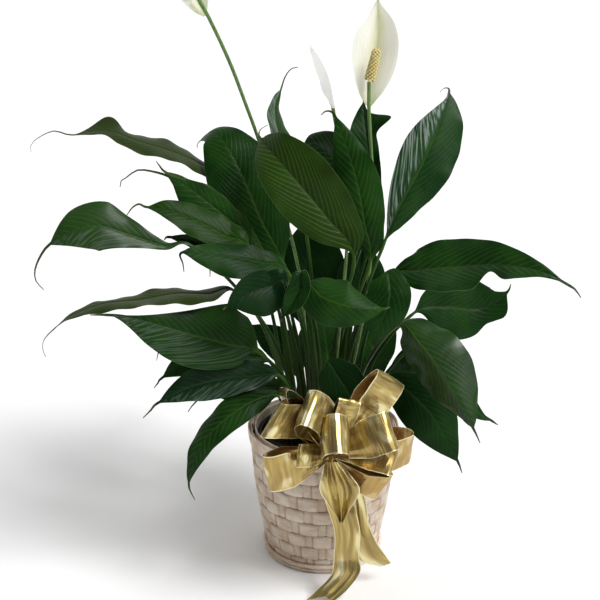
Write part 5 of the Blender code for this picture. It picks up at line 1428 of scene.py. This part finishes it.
tailTable = {
    "bow_tail_front": dict(
        crease=0.14, folded=1.7,
        rails=[((325, 462, -13.4), (339, 462, -13.4)), ((321, 478, -13.8), (351, 476, -13.8)),
               ((320, 492, -14.0), (360, 491, -14.0)), ((330, 509, -13.8), (352, 508, -13.8)),
               ((339.5, 523, -13.6), (342.5, 523, -13.6))]),
    "bow_tail_long": dict(
        crease=-0.05, folded=0.25, notch=8 * mm,
        rails=[((324, 470, -10.6), (338, 470, -10.6)), ((324, 496, -10.8), (352, 498, -10.8)),
               ((334, 530, -11.2), (360, 530, -11.2)), ((334, 556, -11.4), (359, 556, -11.4)),
               ((331, 575, -11.8), (360, 572, -11.9)), ((317, 590, -12.2), (347, 590, -12.6)),
               ((306, 600, -12.6), (333, 602, -13.1))]),
    "bow_tail_short": dict(
        crease=0.06, folded=0.25,
        rails=[((342, 472, -9.8), (354, 470, -9.8)), ((345, 500, -9.9), (365, 498, -9.8)),
               ((348, 528, -9.8), (369, 524, -9.6)), ((352, 549, -9.5), (376, 541, -9.1)),
               ((361, 561, -9.2), (384, 553, -8.6)), ((380, 566, -8.6), (391, 563, -8.2))]),
}
wireRoute = [knot + Vector((0, 10.4, -1)) * mm, knot + Vector((0, 18, -9)) * mm,
             Vector((knot.x, -0.0925, 0.1646)), Vector((knot.x, -0.083, 0.1644)),
             Vector((knot.x, -0.0735, 0.158))]
ribbonBuild = {
    "thickness": 0.4 * mm, "loopSteps": 130, "across": 26, "tailSteps": 34, "pleats": 3.0,
    "pleatDepth": 1.5 * mm, "crinkle": 0.8 * mm, "crinklesPerMetre": 70.0, "cup": 0.9 * mm,
    "crushPerMetre": 42.0, "gatherAtKnot": 0.7, "bandSize": 8.5 * mm, "bandTall": 12 * mm,
    "bandSteps": 24, "bandGather": 0.55, "wireRadius": 0.7 * mm, "cutWidths": (0.03, 0.03, 0.02),
}


def makeRibbonMaterial():
    # ribbonPlace: reach across from -1 to 1, length along in metres, and how much painted shade browns the
    # face;
    # ribbonGrain: the slow and the quick way of its fine creases, the quick one in metres
    look = {"gold": (0.50, 0.38, 0.09), "pale": (0.92, 0.85, 0.52), "deep": (0.30, 0.185, 0.036),
            "brown": (0.19, 0.115, 0.022), "insideShadeBrown": (0.42, 0.215, 0.045)}
    made, tree, shader = startMaterial("gold ribbon", {"Metallic": 0.75})
    place, grain = (parts(attribute(tree, name)) for name in ("ribbonPlace", "ribbonGrain"))
    threads = noiseAt(joinParts(grain["X"], times(grain["Y"], 1300.0), 0.0), 1.0, 2.0, 0.6)
    bands = noiseAt(joinParts(times(grain["X"], 0.7), times(grain["Y"], 300.0), 3.0), 1.0, 1.5)
    broad = noiseAt(joinParts(times(grain["X"], 0.8), times(grain["Y"], 75.0), grain["Z"]), 1.0, 1.0)
    # painted reflections: the deep and gold bands and the broad brown and pale patches stand in for the
    # dark and bright streaks that the crinkled foil mirrors
    colour = mixColour(ease(bands, 0.36, 0.66), look["deep"], look["gold"])
    for share, name in (
            (times(ease(broad, 0.52, 0.34), 0.7), "brown"), (times(ease(broad, 0.54, 0.70), 0.75), "pale"),
            # the brownish colour mixed in by the place's Z is painted shade on the faces inside the loops
            (times(place["Z"], 0.7), "insideShadeBrown"), (times(threads, 0.25), "pale"),
            (ease(calc("ABSOLUTE", place["X"]), 0.93, 0.985), "pale")):
        colour = mixColour(share, colour, look[name])
    finishSurface(shader, colour, (0.16, 0.16), threads, plus(times(threads, 0.10), bands), 0.00045)
    return made


def ribbonSkin(middles, halves, normals, gathers, seed, lengthFrom=0.0, lengthwise=False, insideShade=0.0):
    # a closed thin ribbon; gathers say how pleated it is at each station; its fine creases run
    # across it, or along it where it hangs
    build = ribbonBuild
    count = build["across"]
    rings, places, grains = [], [], []
    along = lengthFrom
    for k, middle in enumerate(middles):
        along += (middle - middles[k - 1]).length if k else 0.0
        upper, lower = [], []
        for i in range(count + 1):
            u = 2 * i / count - 1
            pleat = (math.sin(math.pi * build["pleats"] * (u + 0.2) + 1.5 * seed) * build["pleatDepth"]
                     * gathers[k])
            flat = middle + halves[k] * u
            slow, quick = (along * 22.0, u * halves[k].length) if lengthwise else (u * 1.1, along)
            beat = quick * build["crinklesPerMetre"]
            fold = noise.noise(Vector((slow, beat, seed * 3.1)))
            crush = noise.noise(flat * build["crushPerMetre"] + Vector((seed * 5.0, 0.0, 0.0)))
            fine = noise.noise(Vector((slow * 1.5, beat * 3.4, seed * 7.7)))
            rise = pleat + build["crinkle"] * (fold * 1.5 + crush * 2.0 + fine * 0.2)
            rise += build["cup"] * (u * u - 0.4) * (1 - gathers[k])
            place = flat + normals[k] * rise
            upper.append(place + normals[k] * (build["thickness"] / 2))
            lower.append(place - normals[k] * (build["thickness"] / 2))
            # Z: painted shade, full on the upper face, and the loop's own share on the lower one
            places.append((u, along, 1.0))
            grains.append((slow, quick, seed * 1.0))
        places += [(u, length, insideShade) for u, length, _ in places[-(count + 1):][::-1]]
        grains += grains[-(count + 1):][::-1]
        rings.append(upper + lower[::-1])
    verts, faces = joinRings(rings)
    return verts, faces, {"ribbonPlace": places, "ribbonGrain": grains}, along


def loopSkin(far, axis, swell, width, number, lengthFrom, bend=(0, 0, 0), insideShade=0.0):
    build = ribbonBuild
    out = seen(*far) - knot
    reach, heading, bend = out.length, out.normalized(), Vector(bend)
    across = Vector(axis)
    across = (across - heading * across.dot(heading)).normalized()
    sideways = across.cross(heading)
    middles, halves, normals, gathers = [], [], [], []
    for k in range(build["loopSteps"] + 1):
        turn = 2 * math.pi * (0.06 + 0.88 * k / build["loopSteps"])
        forward = reach * (1 - math.cos(turn)) / 2
        apart = swell * cm * math.sin(turn) * (0.45 + 0.55 * (1 - math.cos(turn)) / 2)
        sway = math.pi * forward / reach
        middles.append(knot + heading * forward + sideways * apart + bend * (cm * math.sin(sway)))
        slope = (heading * (reach * math.sin(turn) / 2)
                 + bend * (cm * math.pi / 2 * math.cos(sway) * math.sin(turn))
                 + sideways * (swell * cm * math.cos(turn))).normalized()
        normals.append(slope.cross(across).normalized())
        share = 0.24 + 0.76 * min(1.0, 1.5 * math.sin(turn / 2) ** 2)
        halves.append(across * (width * cm / 2 * share))
        gathers.append((1 - min(1.0, 1.25 * math.sin(turn / 2) ** 2)) ** 1.5)
    return ribbonSkin(middles, halves, normals, gathers, number, lengthFrom, insideShade=insideShade)


def tailSkin(rails, number, notch=0.0, crease=0.0, folded=0.0):
    build = ribbonBuild
    left, right = (smoothCurve([seen(*pair[side]) for pair in rails], build["tailSteps"])
                   for side in (0, 1))
    middles = [a.lerp(b, 0.5) for a, b in zip(left, right)]
    headings = directions(middles)
    halves = [(b - a) / 2 for a, b in zip(left, right)]
    normals = [half.cross(heading).normalized() for half, heading in zip(halves, headings)]
    gathers = [folded + (build["gatherAtKnot"] - folded) * (1 - smooth(k / len(middles), 0.0, 0.25))
               for k in range(len(middles))]
    verts, faces, values, along = ribbonSkin(middles, halves, normals, gathers, number, lengthwise=True)
    size = 2 * (build["across"] + 1)
    for k in range(len(middles)):
        # the crease along the middle, and the notch drawn in over the last stations
        late = smooth(k / (len(middles) - 1), 0.8, 1.0)
        for i in range(k * size, (k + 1) * size):
            u = values["ribbonPlace"][i][0]
            lift = crease * halves[k].length * (1 - abs(u)) ** 1.2
            verts[i] += normals[k] * lift - headings[k] * (notch * (1 - abs(u)) * late)
    return verts, faces, values, along


def makeLoops(gold):
    verts, faces, values, total = [], [], {}, 0.0
    for number, spec in enumerate(loopTable.values()):
        more, moreFaces, moreValues, total = loopSkin(**spec, number=number, lengthFrom=total)
        faces += [tuple(v + len(verts) for v in face) for face in moreFaces]
        verts += more
        for label, rows in moreValues.items():
            values.setdefault(label, []).extend(rows)
    loops = meshObject("bow_ribbon", verts, faces, gold, values)
    settle(loops, "ribbon", "bow_loops")
    print("ribbon in the loops, metres:", round(total, 3))


def makeKnotBand(gold):
    build = ribbonBuild
    steps, size = build["bandSteps"], build["bandSize"]
    angles = [2 * math.pi * k / steps for k in range(steps + 1)]
    band = [knot + Vector((math.cos(a) * size, math.sin(a) * size * 0.95, 0)) for a in angles]
    halves = [Vector((0.12, 0, 1)).normalized() * build["bandTall"]] * len(band)
    normals = [(place - knot).normalized() for place in band]
    gathers = [build["bandGather"]] * len(band)
    verts, faces, values, along = ribbonSkin(band, halves, normals, gathers, 21)
    centre = meshObject("bow_knot", verts, faces, gold, values)
    settle(centre, "ribbon", "bow_loops")


def makeTails(gold):
    for number, (node, spec) in enumerate(tailTable.items()):
        verts, faces, values, along = tailSkin(**spec, number=31 + number)
        tail = meshObject(node + "_ribbon", verts, faces, gold, values)
        settle(tail, "ribbon", node)
        print(node, "length", round(along, 3))


def makeTieWire():
    look = {"green": (0.03, 0.10, 0.03), "lit": (0.05, 0.14, 0.05)}
    made, tree, shader = startMaterial("tie wire", {"Specular IOR Level": 0.5})
    spots = mottled(tree, 400.0, 4000.0, 0.2)
    colour = mixColour(spots["Blotches"], look["green"], look["lit"])
    finishSurface(shader, colour, (0.4, 0.2), spots["Grain"])
    rings = tubeRings(wireRoute, ribbonBuild["wireRadius"], 12, 12)
    settle(meshObject("bow_tie_wire", *joinRings(rings), made), "tie_wire", "bow_wire")


def makeBow():
    gold = makeRibbonMaterial()
    makeLoops(gold)
    makeKnotBand(gold)
    makeTails(gold)
    makeTieWire()


makeBow()
print("bow made")


stageBuild = {
    "floorHalf": 30.0, "ahead": 0.12, "behind": 0.80,
    "lamps": {"key": ((0.56, -0.30, 0.80), 26.0, 2.6), "window": ((0.66, -0.60, 0.46), 40.0, 0.5),
              "rim": ((-0.72, 0.42, 0.55), 44.0, 0.2)},
}


def makeFloor():
    half = stageBuild["floorHalf"]
    corners = [(-half, -half, 0.0), (half, -half, 0.0), (half, half, 0.0), (-half, half, 0.0)]
    look = {"white": (0.90, 0.90, 0.90), "bright": (0.93, 0.93, 0.93)}
    made, tree, shader = startMaterial("floor", {"Roughness": 0.75, "Specular IOR Level": 0.2})
    spots = mottled(tree, 1.2, 60.0, 0.4)
    wire(shader.inputs["Base Color"], mixColour(spots["Blotches"], look["white"], look["bright"]))
    meshObject("floor", corners, [(0, 1, 2, 3)], made)


def makeLight():
    # a broad soft key from above right, a weaker window and rim light, and a room that is bright
    # behind the plant and dim before it
    build = stageBuild
    world = bpy.data.worlds.new("surroundings")
    world.use_nodes = True
    tree = world.node_tree
    toward = parts(addNode(tree, "ShaderNodeTexCoord").outputs["Generated"])["Y"]
    share = ease(toward, -0.45, 0.45)
    strength = plus(build["ahead"], times(share, build["behind"] - build["ahead"]))
    background = tree.nodes["Background"]
    background.inputs["Color"].default_value = (1.0, 1.0, 1.0, 1.0)
    wire(background.inputs["Strength"], strength)
    scene.world = world
    for name, (comesFrom, width, power) in build["lamps"].items():
        lamp = bpy.data.lights.new(name, "SUN")
        lamp.angle = math.radians(width)
        lamp.energy = power
        lit = bpy.data.objects.new(name, lamp)
        lit.rotation_euler = (-Vector(comesFrom)).to_track_quat("-Z", "Y").to_euler()
        scene.collection.objects.link(lit)
    scene.view_settings.view_transform = "Standard"


makeFloor()
makeLight()
bpy.context.view_layer.update()
print("floor and light made")
